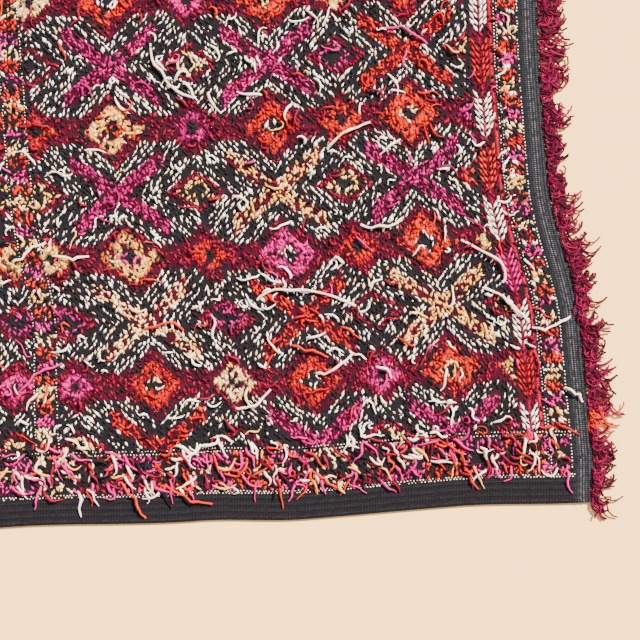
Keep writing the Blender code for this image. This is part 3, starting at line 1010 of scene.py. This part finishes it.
def dotted_lines():
    """Flat places and turns of the knots in the dotted lines."""
    rows = []
    along = np.arange(END_BAND, LENGTH - END_BAND, DOT_PITCH)
    for number, depth in enumerate((DOT_COLUMN, *TWIN_DOTS)):
        for across in (depth, WIDTH - depth):
            rows.append((np.full(len(along), across), along + number * DOT_PITCH / 2, math.pi / 2))
    inside = along[(along > FIELD_END) & (along < LENGTH - FIELD_END)]
    for side in (-DIVIDER_DOTS, DIVIDER_DOTS):
        rows.append((read_table(DIVIDER, inside) + side * DIVIDER_HALF, inside, math.pi / 2))
    across = np.arange(SELVEDGE, WIDTH - SELVEDGE, DOT_PITCH)
    for number, depth in enumerate((*END_DOTS, *END_INNER_DOTS)):
        for line in (depth, LENGTH - depth):
            rows.append((across + number * DOT_PITCH / 2, np.full(len(across), line), 0.0))
    flats = np.concatenate([np.stack([first, second], axis=-1) for first, second, _ in rows])
    return flats, np.concatenate([np.full(len(first), turn) for first, _, turn in rows])


dot_flats, dot_turns = dotted_lines()
dot_kept = knot_chance.random(len(dot_flats)) < DOT_KEEP
dot_flats = dot_flats[dot_kept] + knot_chance.normal(0.0, DOT_SHIFT, (int(dot_kept.sum()), 2))
print("knots in dotted lines:", len(dot_flats))

# %% White knots
KNOT_SIZE = (0.0079, 0.0035, 0.0034)
KNOT_SLANT = math.radians(24.0)
KNOT_SWING = math.radians(15.0)
KNOT_TILT = 0.16
KNOT_UNEVEN = 0.24
KNOT_RANGE = (0.80, 1.20)
KNOT_SHADE = 0.10
KNOT_SIDES = 4
SWELL_GROWTH = 0.16
THIN_SHARE = 0.36
THIN_STRETCH = (1.30, 0.64, 0.85)
DOT_SIZE = (0.0030, 0.0024, 0.0022)
DOT_RANGE = (0.70, 1.25)
WHITE_MIX = (("white", 0.74), ("cream", 0.12), ("blush", 0.14))


def slant_of(flats):
    """Which way the nearest arm of a cross leans, as +1 or -1."""
    place, _ = lattice(flats[:, 0], flats[:, 1])
    cross_row = (flats[:, 1] - CROSS_ROW) / ROW_PITCH
    return np.sign((place - np.round(place)) * (cross_row - np.round(cross_row)) + 1e-9)


def slanted(flats, swing, chance):
    """Turns of stitches that follow the arms of the crosses."""
    return math.pi / 2 - slant_of(flats) * KNOT_SLANT + chance.normal(0.0, swing, len(flats))


def uneven(count, spread, chance):
    """A factor for each stitch, mostly near 1."""
    return np.exp(chance.normal(0.0, spread, (count, 1)))


knot_flats = stitch_flats[is_knot]
knot_turns = slanted(knot_flats, KNOT_SWING, knot_chance)
knot_swell = SWELL_GROWTH * stitch_swell[is_knot][:, None]
knot_swell = uneven(len(knot_flats), KNOT_UNEVEN, knot_chance) + knot_swell
is_thin = knot_chance.random((len(knot_flats), 1)) < THIN_SHARE
knot_sizes = np.array(KNOT_SIZE) * np.where(is_thin, THIN_STRETCH, 1.0)
knot_sizes = knot_sizes * knot_swell * knot_chance.uniform(*KNOT_RANGE, (len(knot_flats), 3))
dot_sizes = np.array(DOT_SIZE) * knot_chance.uniform(*DOT_RANGE, (len(dot_flats), 3))
white_flats = np.concatenate([knot_flats, dot_flats])
white_turns = np.concatenate([knot_turns, dot_turns[dot_kept]])
white_yarns = drawn_yarns(WHITE_MIX, len(white_flats), knot_chance)
white_tilts = knot_chance.normal(0.0, KNOT_TILT, len(white_flats))
white_sizes = np.concatenate([knot_sizes, dot_sizes])
white_grains = (white_flats, white_turns, white_tilts, white_sizes, white_yarns)
white_knots = grown_grains("white_knots", white_grains, knot_chance, KNOT_SHADE, KNOT_SIDES,
                           "knot_wool")

# %% [markdown]
# ### Dyed floats
# A float is a longer stitch of dyed yarn, 6 to 17 mm, laid over a few warps. In the diamonds the
# floats lean both ways. In the feather column they are placed by given rules, as nested V
# strokes that open away from a crimson stem.

# %% Floats in the diamonds, crosses and small motifs
FLOAT_SEED = 23
FLOAT_KEEP = 0.80
FLOAT_SIZE = (0.0094, 0.0043, 0.0036)
FLOAT_SLANT = math.radians(30.0)
FLOAT_SWING = math.radians(20.0)
FLOAT_UNEVEN = 0.20
FLOAT_RANGE = (0.85, 1.15)
FLOAT_SHADE = 0.16
FLOAT_SIDES = 4
ORDERLY = 0.78
VARIANT_SHARE = 0.20
MAROON_SHARE = 0.13
BLACK_SHARE = 0.06

float_chance = np.random.default_rng(FLOAT_SEED)
is_float = drawn & ~pale & (stitch_yarn != BLACK)
is_float &= float_chance.random(len(is_float)) < FLOAT_KEEP
float_flats = stitch_flats[is_float]
float_yarns = stitch_yarn[is_float]
draw = float_chance.random(len(float_yarns))
float_yarns = np.where(draw < VARIANT_SHARE, VARIANT[float_yarns], float_yarns)
float_yarns = np.where(draw > 1.0 - MAROON_SHARE, MAROON, float_yarns)
float_yarns = np.where(draw > 1.0 - BLACK_SHARE, BLACK, float_yarns)
lean = -slant_of(float_flats) * np.where(float_chance.random(len(float_flats)) < ORDERLY, 1.0, -1.0)
float_turns = math.pi / 2 + lean * FLOAT_SLANT + float_chance.normal(0.0, FLOAT_SWING, len(lean))
float_sizes = np.array(FLOAT_SIZE) * uneven(len(lean), FLOAT_UNEVEN, float_chance)
float_sizes = float_sizes * float_chance.uniform(*FLOAT_RANGE, (len(lean), 3))
print("floats:", len(float_flats))

# %% Feather strokes
STROKES = 6
STROKE_PITCH = 0.0098
STROKE_RISE = 1.75
STROKE_SIZE = (0.0158, 0.0050, 0.0038)
STROKE_RANGE = (0.9, 1.1)
STROKE_SWING = 0.06
STROKE_PLACES = (0.0042, 0.0096)


def feather_strokes():
    """Flat place, turn and yarn of each stroke in the feather columns of both sides."""
    stem = sum(FEATHERS) / 2
    first = math.ceil((FIELD_END - FEATHER_START) / FEATHER_PITCH) - 1
    last = int((LENGTH - FIELD_END - FEATHER_START) / FEATHER_PITCH)
    rows = []
    for number in range(first, last + 1):
        yarn = YARN[FEATHER_YARNS[number % len(FEATHER_YARNS)]]
        start = FEATHER_START + number * FEATHER_PITCH
        for stroke in range(STROKES):
            for side in (-1, 1):
                for out in STROKE_PLACES:
                    along = start + stroke * STROKE_PITCH + out * STROKE_RISE
                    if FIELD_END < along < LENGTH - FIELD_END:
                        turn = math.atan2(STROKE_RISE, side)
                        rows.append((stem + side * out, along, turn, yarn))
                        rows.append((WIDTH - stem + side * out, along, turn, yarn))
    return np.array(rows)


strokes = feather_strokes()
stroke_sizes = np.array(STROKE_SIZE) * float_chance.uniform(*STROKE_RANGE, (len(strokes), 3))
stroke_turns = strokes[:, 2] + float_chance.normal(0.0, STROKE_SWING, len(strokes))
print("feather strokes:", len(strokes))

dyed_grains = (
    np.concatenate([float_flats, strokes[:, :2]]),
    np.concatenate([float_turns, stroke_turns]),
    np.zeros(len(float_flats) + len(strokes)),
    np.concatenate([float_sizes, stroke_sizes]),
    np.concatenate([float_yarns, strokes[:, 3].astype(int)]),
)
dyed_floats = grown_grains("dyed_floats", dyed_grains, float_chance, FLOAT_SHADE, FLOAT_SIDES,
                           "dyed_float_wool")

# %% [markdown]
# ### Dark stitches
# Between the bright stitches the ground isn't flat: black yarn is wrapped there in the same way. So
# the other places of the grid get black stitches, or wine red ones in the belts of the diamonds.
# They have three sides only, since they are seen as dark lumps and there are many of them.

# %% Dark stitches over the ground
DARK_SEED = 37
DARK_KEEP = 0.56
DARK_SIZE = (0.0096, 0.0060, 0.0046)
DARK_SWING = math.radians(30.0)
DARK_RANGE = (0.75, 1.25)
DARK_SHADE = 0.30
DARK_SIDES = 3
DARK_MIX = (("black", 0.66), ("charcoal", 0.22), ("plum", 0.12))
WINE_MIX = (("maroon", 0.46), ("plum", 0.30), ("crimson", 0.12), ("black", 0.12))

dark_chance = np.random.default_rng(DARK_SEED)
is_dark = ~checker & ~is_float & (dark_chance.random(len(checker)) < DARK_KEEP)
dark_flats = stitch_flats[is_dark]
dark_turns = slanted(dark_flats, DARK_SWING, dark_chance)
dark_sizes = np.array(DARK_SIZE) * dark_chance.uniform(*DARK_RANGE, (len(dark_flats), 3))
dark_yarns = drawn_yarns(DARK_MIX, len(dark_flats), dark_chance)
wine_yarns = drawn_yarns(WINE_MIX, len(dark_flats), dark_chance)
dark_yarns = np.where(stitch_ground[is_dark] == BLACK, dark_yarns, wine_yarns)
dark_grains = (dark_flats, dark_turns, np.zeros(len(dark_flats)), dark_sizes, dark_yarns)
dark_stitches = grown_grains("dark_stitches", dark_grains, dark_chance, DARK_SHADE, DARK_SIDES,
                             "dyed_float_wool")

# %% [markdown]
# ## Loose yarn ends
# Where the weaver changed colour, the end of the yarn was cut and left. A few are long and curl
# over the cloth, most are 12 to 40 mm. They could be hair particles, but those don't export. Here
# each yarn is a line of points, and a node tree sweeps a round section along all of them at once.

# %% The tree that sweeps a yarn along each line
def yarn_tree():
    tree, given = new_tree("swept_yarns")
    curve = add_node(tree, "GeometryNodeMeshToCurve", {"Mesh": given["Geometry"]})
    section = add_node(tree, "GeometryNodeCurvePrimitiveCircle", {
        "Radius": 1.0, "Resolution": given["Sides"]})
    sweep = add_node(tree, "GeometryNodeCurveToMesh", {
        "Curve": curve.outputs["Curve"], "Profile Curve": section.outputs["Curve"],
        "Scale": named(tree, "yarn_radius", "FLOAT"), "Fill Caps": True})
    return finish_tree(tree, sweep.outputs["Mesh"], given["Wool"])


YARN_TREE = yarn_tree()


def grown_yarns(name, paths, radii, colours, sides, wool):
    """Yarns along open lines: paths is yarns by points by 3, radii is yarns by points."""
    count, steps, _ = paths.shape
    index = np.arange(count * steps).reshape(count, steps)
    edges = np.stack([index[:, :-1].ravel(), index[:, 1:].ravel()], axis=-1)
    mesh = bpy.data.meshes.new(name + "_lines")
    mesh.from_pydata(paths.reshape(-1, 3).tolist(), edges.tolist(), [])
    add_attributes(mesh, {
        "yarn_radius": ("FLOAT", radii),
        "yarn_colour": ("FLOAT_COLOR", np.repeat(colours, steps, axis=0)),
    })
    return grown(name, mesh, YARN_TREE, sides, wool)


# %% Long yarns in the photo
# yarn, then across and along of root, middle and tip
LONG_TAILS = (
    ("cream", (0.588, 0.330), (0.646, 0.345), (0.731, 0.311)),
    ("cream", (0.913, 0.398), (0.960, 0.361), (0.956, 0.333)),
    ("cream", (0.925, 0.325), (0.956, 0.305), (0.983, 0.272)),
    ("cream", (0.986, 0.264), (1.013, 0.264), (1.046, 0.279)),
    ("orange", (0.403, 0.286), (0.445, 0.298), (0.469, 0.285)),
    ("cream", (0.303, 0.404), (0.330, 0.400), (0.358, 0.402)),
    ("cream", (0.240, 0.392), (0.264, 0.407), (0.299, 0.424)),
    ("orange", (0.626, 0.260), (0.650, 0.253), (0.680, 0.238)),
    ("cream", (0.660, 0.216), (0.687, 0.220), (0.718, 0.242)),
    ("cream", (0.535, 0.168), (0.558, 0.170), (0.590, 0.196)),
    ("orange", (0.640, 0.073), (0.660, 0.056), (0.683, 0.040)),
    ("orange", (0.356, 0.062), (0.377, 0.032), (0.392, 0.008)),
    ("orange", (0.420, 0.056), (0.458, 0.034), (0.492, 0.024)),
    ("orange", (0.835, 0.098), (0.862, 0.080), (0.870, 0.052)),
    ("cream", (0.734, 0.548), (0.764, 0.570), (0.802, 0.582)),
    ("pink", (0.212, 0.197), (0.250, 0.228), (0.284, 0.240)),
    ("cream", (1.026, 0.172), (1.042, 0.166), (1.052, 0.150)),
    ("cream", (0.770, 0.432), (0.802, 0.424), (0.835, 0.436)),
)
print("long yarns placed one by one:", len(LONG_TAILS))

# %% Spread long yarns over the rest of the rug
SPREAD_ACROSS = 3
SPREAD_ALONG = 9
SPREAD_LENGTH = (0.065, 0.115)
SPREAD_SHIFT = 0.13
SPREAD_BOW = 0.35
SPREAD_YARNS = ("cream", "orange", "pink")
SOLID_SEED = 41


def spread_tails():
    """The long yarns over the rest of the rug, one in each cell of an even grid, as in the solid."""
    chance = random.Random(SOLID_SEED)
    start = max(along for _, *places in LONG_TAILS for _, along in places)
    cell_across = (WIDTH - 4 * SELVEDGE) / SPREAD_ACROSS
    cell_along = (LENGTH - END_BAND - start) / SPREAD_ALONG
    tails = []
    for row in range(SPREAD_ALONG):
        for column in range(SPREAD_ACROSS):
            centre = Vector((
                2 * SELVEDGE + cell_across * (column + 0.5 + chance.uniform(-SPREAD_SHIFT, SPREAD_SHIFT)),
                start + cell_along * (row + 0.5 + chance.uniform(-SPREAD_SHIFT, SPREAD_SHIFT)),
            ))
            angle = chance.uniform(0.0, 2.0 * math.pi)
            reach = Vector((math.cos(angle), math.sin(angle))) * chance.uniform(*SPREAD_LENGTH) / 2
            bow = Vector((-reach.y, reach.x)) * chance.uniform(-SPREAD_BOW, SPREAD_BOW)
            yarn = chance.choice(SPREAD_YARNS)
            tails.append((yarn, centre - reach, centre + bow, centre + reach))
    return tails


NAMED_TAILS = list(LONG_TAILS) + spread_tails()
print("long yarns:", len(NAMED_TAILS))

# %% Paths of the long yarns
TAIL_POINTS = 15
TAIL_RADIUS = 0.0019
TAIL_HUMP = 0.0055
TAIL_SHADE = 0.08
TAIL_SIDES = 6
TAIL_WOBBLE = 0.0024
WOBBLE_TURNS = (9.0, 21.0)
FINE_WOBBLE = 0.4
FINE_PHASE = 3.0
LUMPS = 0.16
LUMP_TURNS = 13.0
TAIL_SEED = 31
EDGE_ROOM = (0.006, 0.003)
TIP_REACH = 1.06
ROOT_DEPTH = 1.6
ROOT_SHARE = 6.0

tail_chance = np.random.default_rng(TAIL_SEED)


def bent_paths(tails, chance):
    """Flat paths through root, middle and tip of each yarn, with a little wobble."""
    share = np.linspace(0.0, 1.0, TAIL_POINTS)[None, :, None]
    roots, middles, tips = (np.array([tail[number] for tail in tails], float)[:, None, :]
                            for number in (1, 2, 3))
    pull = 2.0 * middles - 0.5 * (roots + tips)
    flat = roots * (1.0 - share) ** 2 + pull * 2.0 * share * (1.0 - share) + tips * share ** 2
    phase = chance.uniform(0.0, 2.0 * np.pi, (len(tails), 1, 2))
    slow, quick = WOBBLE_TURNS
    wobble = np.sin(share * slow + phase) + FINE_WOBBLE * np.sin(share * quick + phase * FINE_PHASE)
    return flat + TAIL_WOBBLE * wobble * np.sin(np.pi * share)


def lumpy(radii, chance):
    """Radii along hand-spun yarns: each swells and thins by its own rhythm."""
    share = np.linspace(0.0, 1.0, radii.shape[1])[None, :]
    phase = chance.uniform(0.0, 2.0 * np.pi, (len(radii), 1))
    return radii * (1.0 + LUMPS * np.sin(share * LUMP_TURNS + phase))


def raised(flat, hump, radius):
    """Lays flat paths on the cloth, each rising over its middle by its own hump."""
    share = np.linspace(0.0, 1.0, flat.shape[1])[None, :]
    across = np.clip(flat[..., 0], EDGE_ROOM[0], WIDTH - EDGE_ROOM[0])
    along = np.clip(flat[..., 1], EDGE_ROOM[1], LENGTH - EDGE_ROOM[1])
    x, y = lie_at(across, along)
    lift = np.sin(np.pi * np.minimum(share * TIP_REACH, 1.0)) * hump
    root_sink = (1.0 - soft_step(share * ROOT_SHARE)) * radius * ROOT_DEPTH
    z = cloth_top(across, along) + radius + lift - root_sink
    return np.stack([x, y, z], axis=-1)


# %% Lay the long yarns
named_flat = bent_paths(NAMED_TAILS, tail_chance)
named_radii = lumpy(np.full(named_flat.shape[:2], TAIL_RADIUS), tail_chance)
named_paths = raised(named_flat, TAIL_HUMP, TAIL_RADIUS)
named_yarns = np.array([YARN[tail[0].replace("cream", "blush")] for tail in NAMED_TAILS])
print("long yarn paths:", named_paths.shape)

# %% [markdown]
# ### Short ends everywhere
# The short ends follow the colours under them: an end in a pink diamond is nearly always pink. So
# each end reads the chart at its root, and only some take a colour from the whole mix. Along the
# two end borders they are combed towards the end of the rug, as the weaver's hands left them.

# %% Sizes and colours of the short ends
SHORT_COUNT = 1700
SHORT_POINTS = 7
SHORT_LENGTH = (0.012, 0.040)
SHORT_POWER = 1.7
SHORT_TURN = 1.9
SHORT_RADIUS = (0.0013, 0.0022)
SHORT_HUMP = (0.0008, 0.0050)
SHORT_TAPER = ((0.0, 0.35, 1.0), (0.85, 1.10, 0.45))
SHORT_SHADE = 0.14
SHORT_SIDES = 4
SIDE_ROOM = DOT_COLUMN + 0.006
SWAY = 0.35
SWAY_TURNS = 7.0
KINK = 0.24
BORDER_ENDS = 350
BORDER_DEPTH = (END_MOTIFS[0] + 0.004, FIELD_END + 0.01)
BORDER_LENGTH = (0.014, 0.041)
BORDER_THICKER = 1.12
BORDER_LEAN = 0.45
BORDER_FAN = 0.42
BORDER_TURN = 0.9
OWN_COLOUR = 0.74
FIELD_MIX = (("blush", 0.32), ("white", 0.18), ("red", 0.10), ("orange", 0.12), ("pink", 0.12),
             ("gold", 0.05), ("crimson", 0.06), ("black", 0.05))
BORDER_MIX = (("pink", 0.23), ("orange", 0.14), ("blush", 0.17), ("red", 0.07), ("crimson", 0.16),
              ("maroon", 0.08), ("gold", 0.07), ("black", 0.08))
print("short ends in the field:", SHORT_COUNT, "and along each end:", BORDER_ENDS)


# %% Roots, headings and lengths of the short ends
def in_border(flats):
    return to_edges(flats[:, 0], flats[:, 1])[1] < FIELD_END


def pick_yarns(flats, chance):
    """The chart's own yarn under most ends of the field, and yarns from a mix for the rest."""
    _, own, _ = chart(flats[:, 0], flats[:, 1])
    field, border = (drawn_yarns(mix, len(flats), chance) for mix in (FIELD_MIX, BORDER_MIX))
    keep = (chance.random(len(flats)) < OWN_COLOUR) & (own != BLACK)
    return np.where(in_border(flats), border, np.where(keep, own, field))


def short_ends(chance):
    """Roots, first headings and lengths, in the field first and then along both ends."""
    roots = [np.stack([chance.uniform(SIDE_ROOM, WIDTH - SIDE_ROOM, SHORT_COUNT),
                       chance.uniform(FIELD_END, LENGTH - FIELD_END, SHORT_COUNT)], axis=-1)]
    headings = [chance.uniform(0.0, 2.0 * np.pi, SHORT_COUNT)]
    lengths = [between(SHORT_LENGTH, chance.random(SHORT_COUNT) ** SHORT_POWER)]
    for towards in (-math.pi / 2, math.pi / 2):
        along = chance.uniform(*BORDER_DEPTH, BORDER_ENDS)
        if towards > 0.0:
            along = LENGTH - along
        across = chance.uniform(SIDE_ROOM, WIDTH - SIDE_ROOM, BORDER_ENDS)
        roots.append(np.stack([across, along], axis=-1))
        headings.append(towards + BORDER_LEAN + chance.normal(0.0, BORDER_FAN, BORDER_ENDS))
        lengths.append(chance.uniform(*BORDER_LENGTH, BORDER_ENDS))
    return np.concatenate(roots), np.concatenate(headings), np.concatenate(lengths)


# %% Curl the short ends and lay them
def curled_paths(roots, headings, lengths, chance):
    """Flat paths that start at the roots and curl one way or the other."""
    count = len(roots)
    share = np.linspace(0.0, 1.0, SHORT_POINTS)[None, :]
    most = np.where(in_border(roots), BORDER_TURN, SHORT_TURN)[:, None]
    turn = chance.normal(0.0, 1.0, (count, 1)) * most
    sway = chance.normal(0.0, SWAY, (count, 1))
    phase = chance.uniform(0.0, 2.0 * np.pi, (count, 1))
    kinks = np.cumsum(chance.normal(0.0, KINK, (count, SHORT_POINTS)), axis=1)
    angle = headings[:, None] + turn * share + sway * np.sin(share * SWAY_TURNS + phase) + kinks
    step = lengths[:, None] / (SHORT_POINTS - 1)
    right, up = (np.cumsum(wave(angle) * step, axis=1) - wave(angle[:, :1]) * step
                 for wave in (np.cos, np.sin))
    return np.stack([roots[:, :1] + right, roots[:, 1:] + up], axis=-1)


short_roots, short_headings, short_lengths = short_ends(tail_chance)
short_flat = curled_paths(short_roots, short_headings, short_lengths, tail_chance)
short_yarns = pick_yarns(short_roots, tail_chance)
short_radius = tail_chance.uniform(*SHORT_RADIUS, (len(short_roots), 1))
short_radius[SHORT_COUNT:] *= BORDER_THICKER
short_taper = np.interp(np.linspace(0.0, 1.0, SHORT_POINTS), *SHORT_TAPER)[None, :]
short_hump = tail_chance.uniform(*SHORT_HUMP, (len(short_roots), 1))
short_paths = raised(short_flat, short_hump, short_radius)
print("short ends:", len(short_paths))

# %% Sweep the loose yarns
named_colours = yarn_colours(named_yarns, tail_chance, TAIL_SHADE)
long_ends = grown_yarns("long_yarn_ends", named_paths, named_radii, named_colours, TAIL_SIDES,
                        "loose_yarn_wool")
short_radii = lumpy(short_radius * short_taper, tail_chance)
short_colours = yarn_colours(short_yarns, tail_chance, SHORT_SHADE)
short_piece = grown_yarns("short_yarn_ends", short_paths, short_radii, short_colours, SHORT_SIDES,
                          "loose_yarn_wool")

# %% [markdown]
# ## The side fringe
# Both long sides carry a dense crimson fringe of two-ply yarn, uncombed, so it curls and tangles in
# locks. The solid has a row of plain wedges for them. Here the locks stand closer, and each is ten
# curly strands that start beside the selvedge, gather towards the tip and cross each other.

# %% Sizes of the fringe
# along, how many degrees the locks lean towards the near end
FRINGE_LEAN = (
    (0.00, 48.0), (0.04, 36.0), (0.14, 26.0), (0.32, 22.0), (0.48, 6.0),
    (0.62, -6.0), (1.05, 16.0), (1.55, 20.0), (2.05, 6.0), (LENGTH, 12.0),
)
LOCK_PITCH = 0.0168
LOCK_SHIFT = 0.22
LOCK_SWING = 15.0
LOCK_POWER = 1.3
LOCK_WIDTH = 0.52
LOCK_GATHER = 0.54
LOCK_ROOM = 0.001
STRANDS_PER_LOCK = 10
STRAND_POINTS = 12
STRAND_SIDES = 3
STRAND_RADIUS = 0.00165
STRAND_RANGE = (0.8, 1.2)
STRAND_LENGTH = (0.020, 0.050)
STRAND_REACH = (0.62, 1.06)
STRAND_SWING = 0.12
STRAND_CURL = 0.0070
CURL_TURNS = (0.9, 2.1)
CURL_RANGE = (0.4, 1.3)
CURL_START = 4.0
CURL_FORWARD = 0.8
DROOP = 0.006
ROOT_GAP = 0.0012
LAYER_HEIGHT = 0.0044
LAYER_SINK = 0.45
BOUNCE = 0.0016
BOUNCE_TURNS = (1.3, 1.7)
FLOOR_ROOM = 1.25
FRINGE_SEEDS = (51, 52)
FRINGE_YARNS = ((84, 1, 32), (114, 3, 46), (54, 1, 22))
FRINGE_SHADE = (0.75, 1.2)
ORANGE_LOCK = 0.122
ORANGE_SHARE = 0.6
print("locks a side:", int(LENGTH / LOCK_PITCH))


# %% Strands of one side
def fringe_side(name, side, seed):
    """The fringe of the right side (1) or the left side (-1)."""
    chance = np.random.default_rng(seed)
    locks = int(LENGTH / LOCK_PITCH)
    lock = np.repeat(np.arange(locks), STRANDS_PER_LOCK)
    count = len(lock)
    lock_along = (np.arange(locks) + 0.5 + chance.uniform(-LOCK_SHIFT, LOCK_SHIFT, locks)) * LOCK_PITCH
    lock_lean = np.radians(read_table(FRINGE_LEAN, lock_along) + chance.normal(0.0, LOCK_SWING, locks))
    lock_reach = between(STRAND_LENGTH, chance.random(locks) ** LOCK_POWER)
    offset = chance.uniform(-1.0, 1.0, count)
    along = lock_along[lock] + offset * LOCK_PITCH * LOCK_WIDTH
    along = np.clip(along, LOCK_ROOM, LENGTH - LOCK_ROOM)
    root_x, root_y = lie_at(np.full(count, WIDTH if side > 0 else 0.0), along)
    reach = lock_reach[lock] * chance.uniform(*STRAND_REACH, count)
    lean = lock_lean[lock] + chance.normal(0.0, STRAND_SWING, count) - offset * LOCK_GATHER
    share = np.linspace(0.0, 1.0, STRAND_POINTS)[None, :]
    ahead = np.stack([side * np.cos(lean), -np.sin(lean)], axis=-1)
    aside = np.stack([side * np.sin(lean), np.cos(lean)], axis=-1)
    twist = 2.0 * np.pi * chance.uniform(*CURL_TURNS, (count, 1)) * share
    phase = chance.uniform(0.0, 2.0 * np.pi, (count, 1))
    curl = STRAND_CURL * chance.uniform(*CURL_RANGE, (count, 1)) * soft_step(share * CURL_START)
    forward = reach[:, None] * share + curl * CURL_FORWARD * np.cos(twist + phase)
    sideways = curl * np.sin(twist + phase) + chance.normal(0.0, DROOP, (count, 1)) * share ** 2
    x = root_x[:, None] + side * ROOT_GAP + ahead[:, :1] * forward + aside[:, :1] * sideways
    y = root_y[:, None] + ahead[:, 1:] * forward + aside[:, 1:] * sideways
    layer = chance.uniform(0.0, 1.0, (count, 1))
    bounce = BOUNCE * (1.0 + np.sin(twist * BOUNCE_TURNS[0] + phase * BOUNCE_TURNS[1]))
    z = FLOOR_ROOM * STRAND_RADIUS + LAYER_HEIGHT * layer * (1.0 - LAYER_SINK * share) + bounce
    shades = to_light(FRINGE_YARNS)[chance.integers(0, len(FRINGE_YARNS), count)]
    shades = shades * chance.uniform(*FRINGE_SHADE, (count, 1))
    by_orange = (side > 0) & (np.abs(along - ORANGE_LOCK) < LOCK_PITCH)
    shades[by_orange & (chance.random(count) < ORANGE_SHARE)] = YARN_LIGHT[YARN["orange"]]
    radii = np.full((count, STRAND_POINTS), STRAND_RADIUS) * chance.uniform(*STRAND_RANGE, (count, 1))
    paths = np.stack([x, y, z], axis=-1)
    return grown_yarns(name, paths, radii, opaque(shades), STRAND_SIDES, "crimson_fringe_wool")


right_fringe = fringe_side("right_fringe", 1, FRINGE_SEEDS[0])
left_fringe = fringe_side("left_fringe", -1, FRINGE_SEEDS[1])

# %% [markdown]
# ## Join the looks to the solids
# Every piece rides on the one body of the rug. The cloth stands for the woven solid and each fringe
# for its own solid.

# %% Ride and replace
WOVEN_PIECES = [cloth, *white_knots, *dyed_floats, *dark_stitches, long_ends, short_piece]
for piece in WOVEN_PIECES:
    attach(piece, "root")
for piece, node in ((right_fringe, "fringe_right"), (left_fringe, "fringe_left")):
    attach(piece, "root")
    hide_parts(node)
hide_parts("woven_rug")
print("pieces on the root:", len(WOVEN_PIECES) + 2)
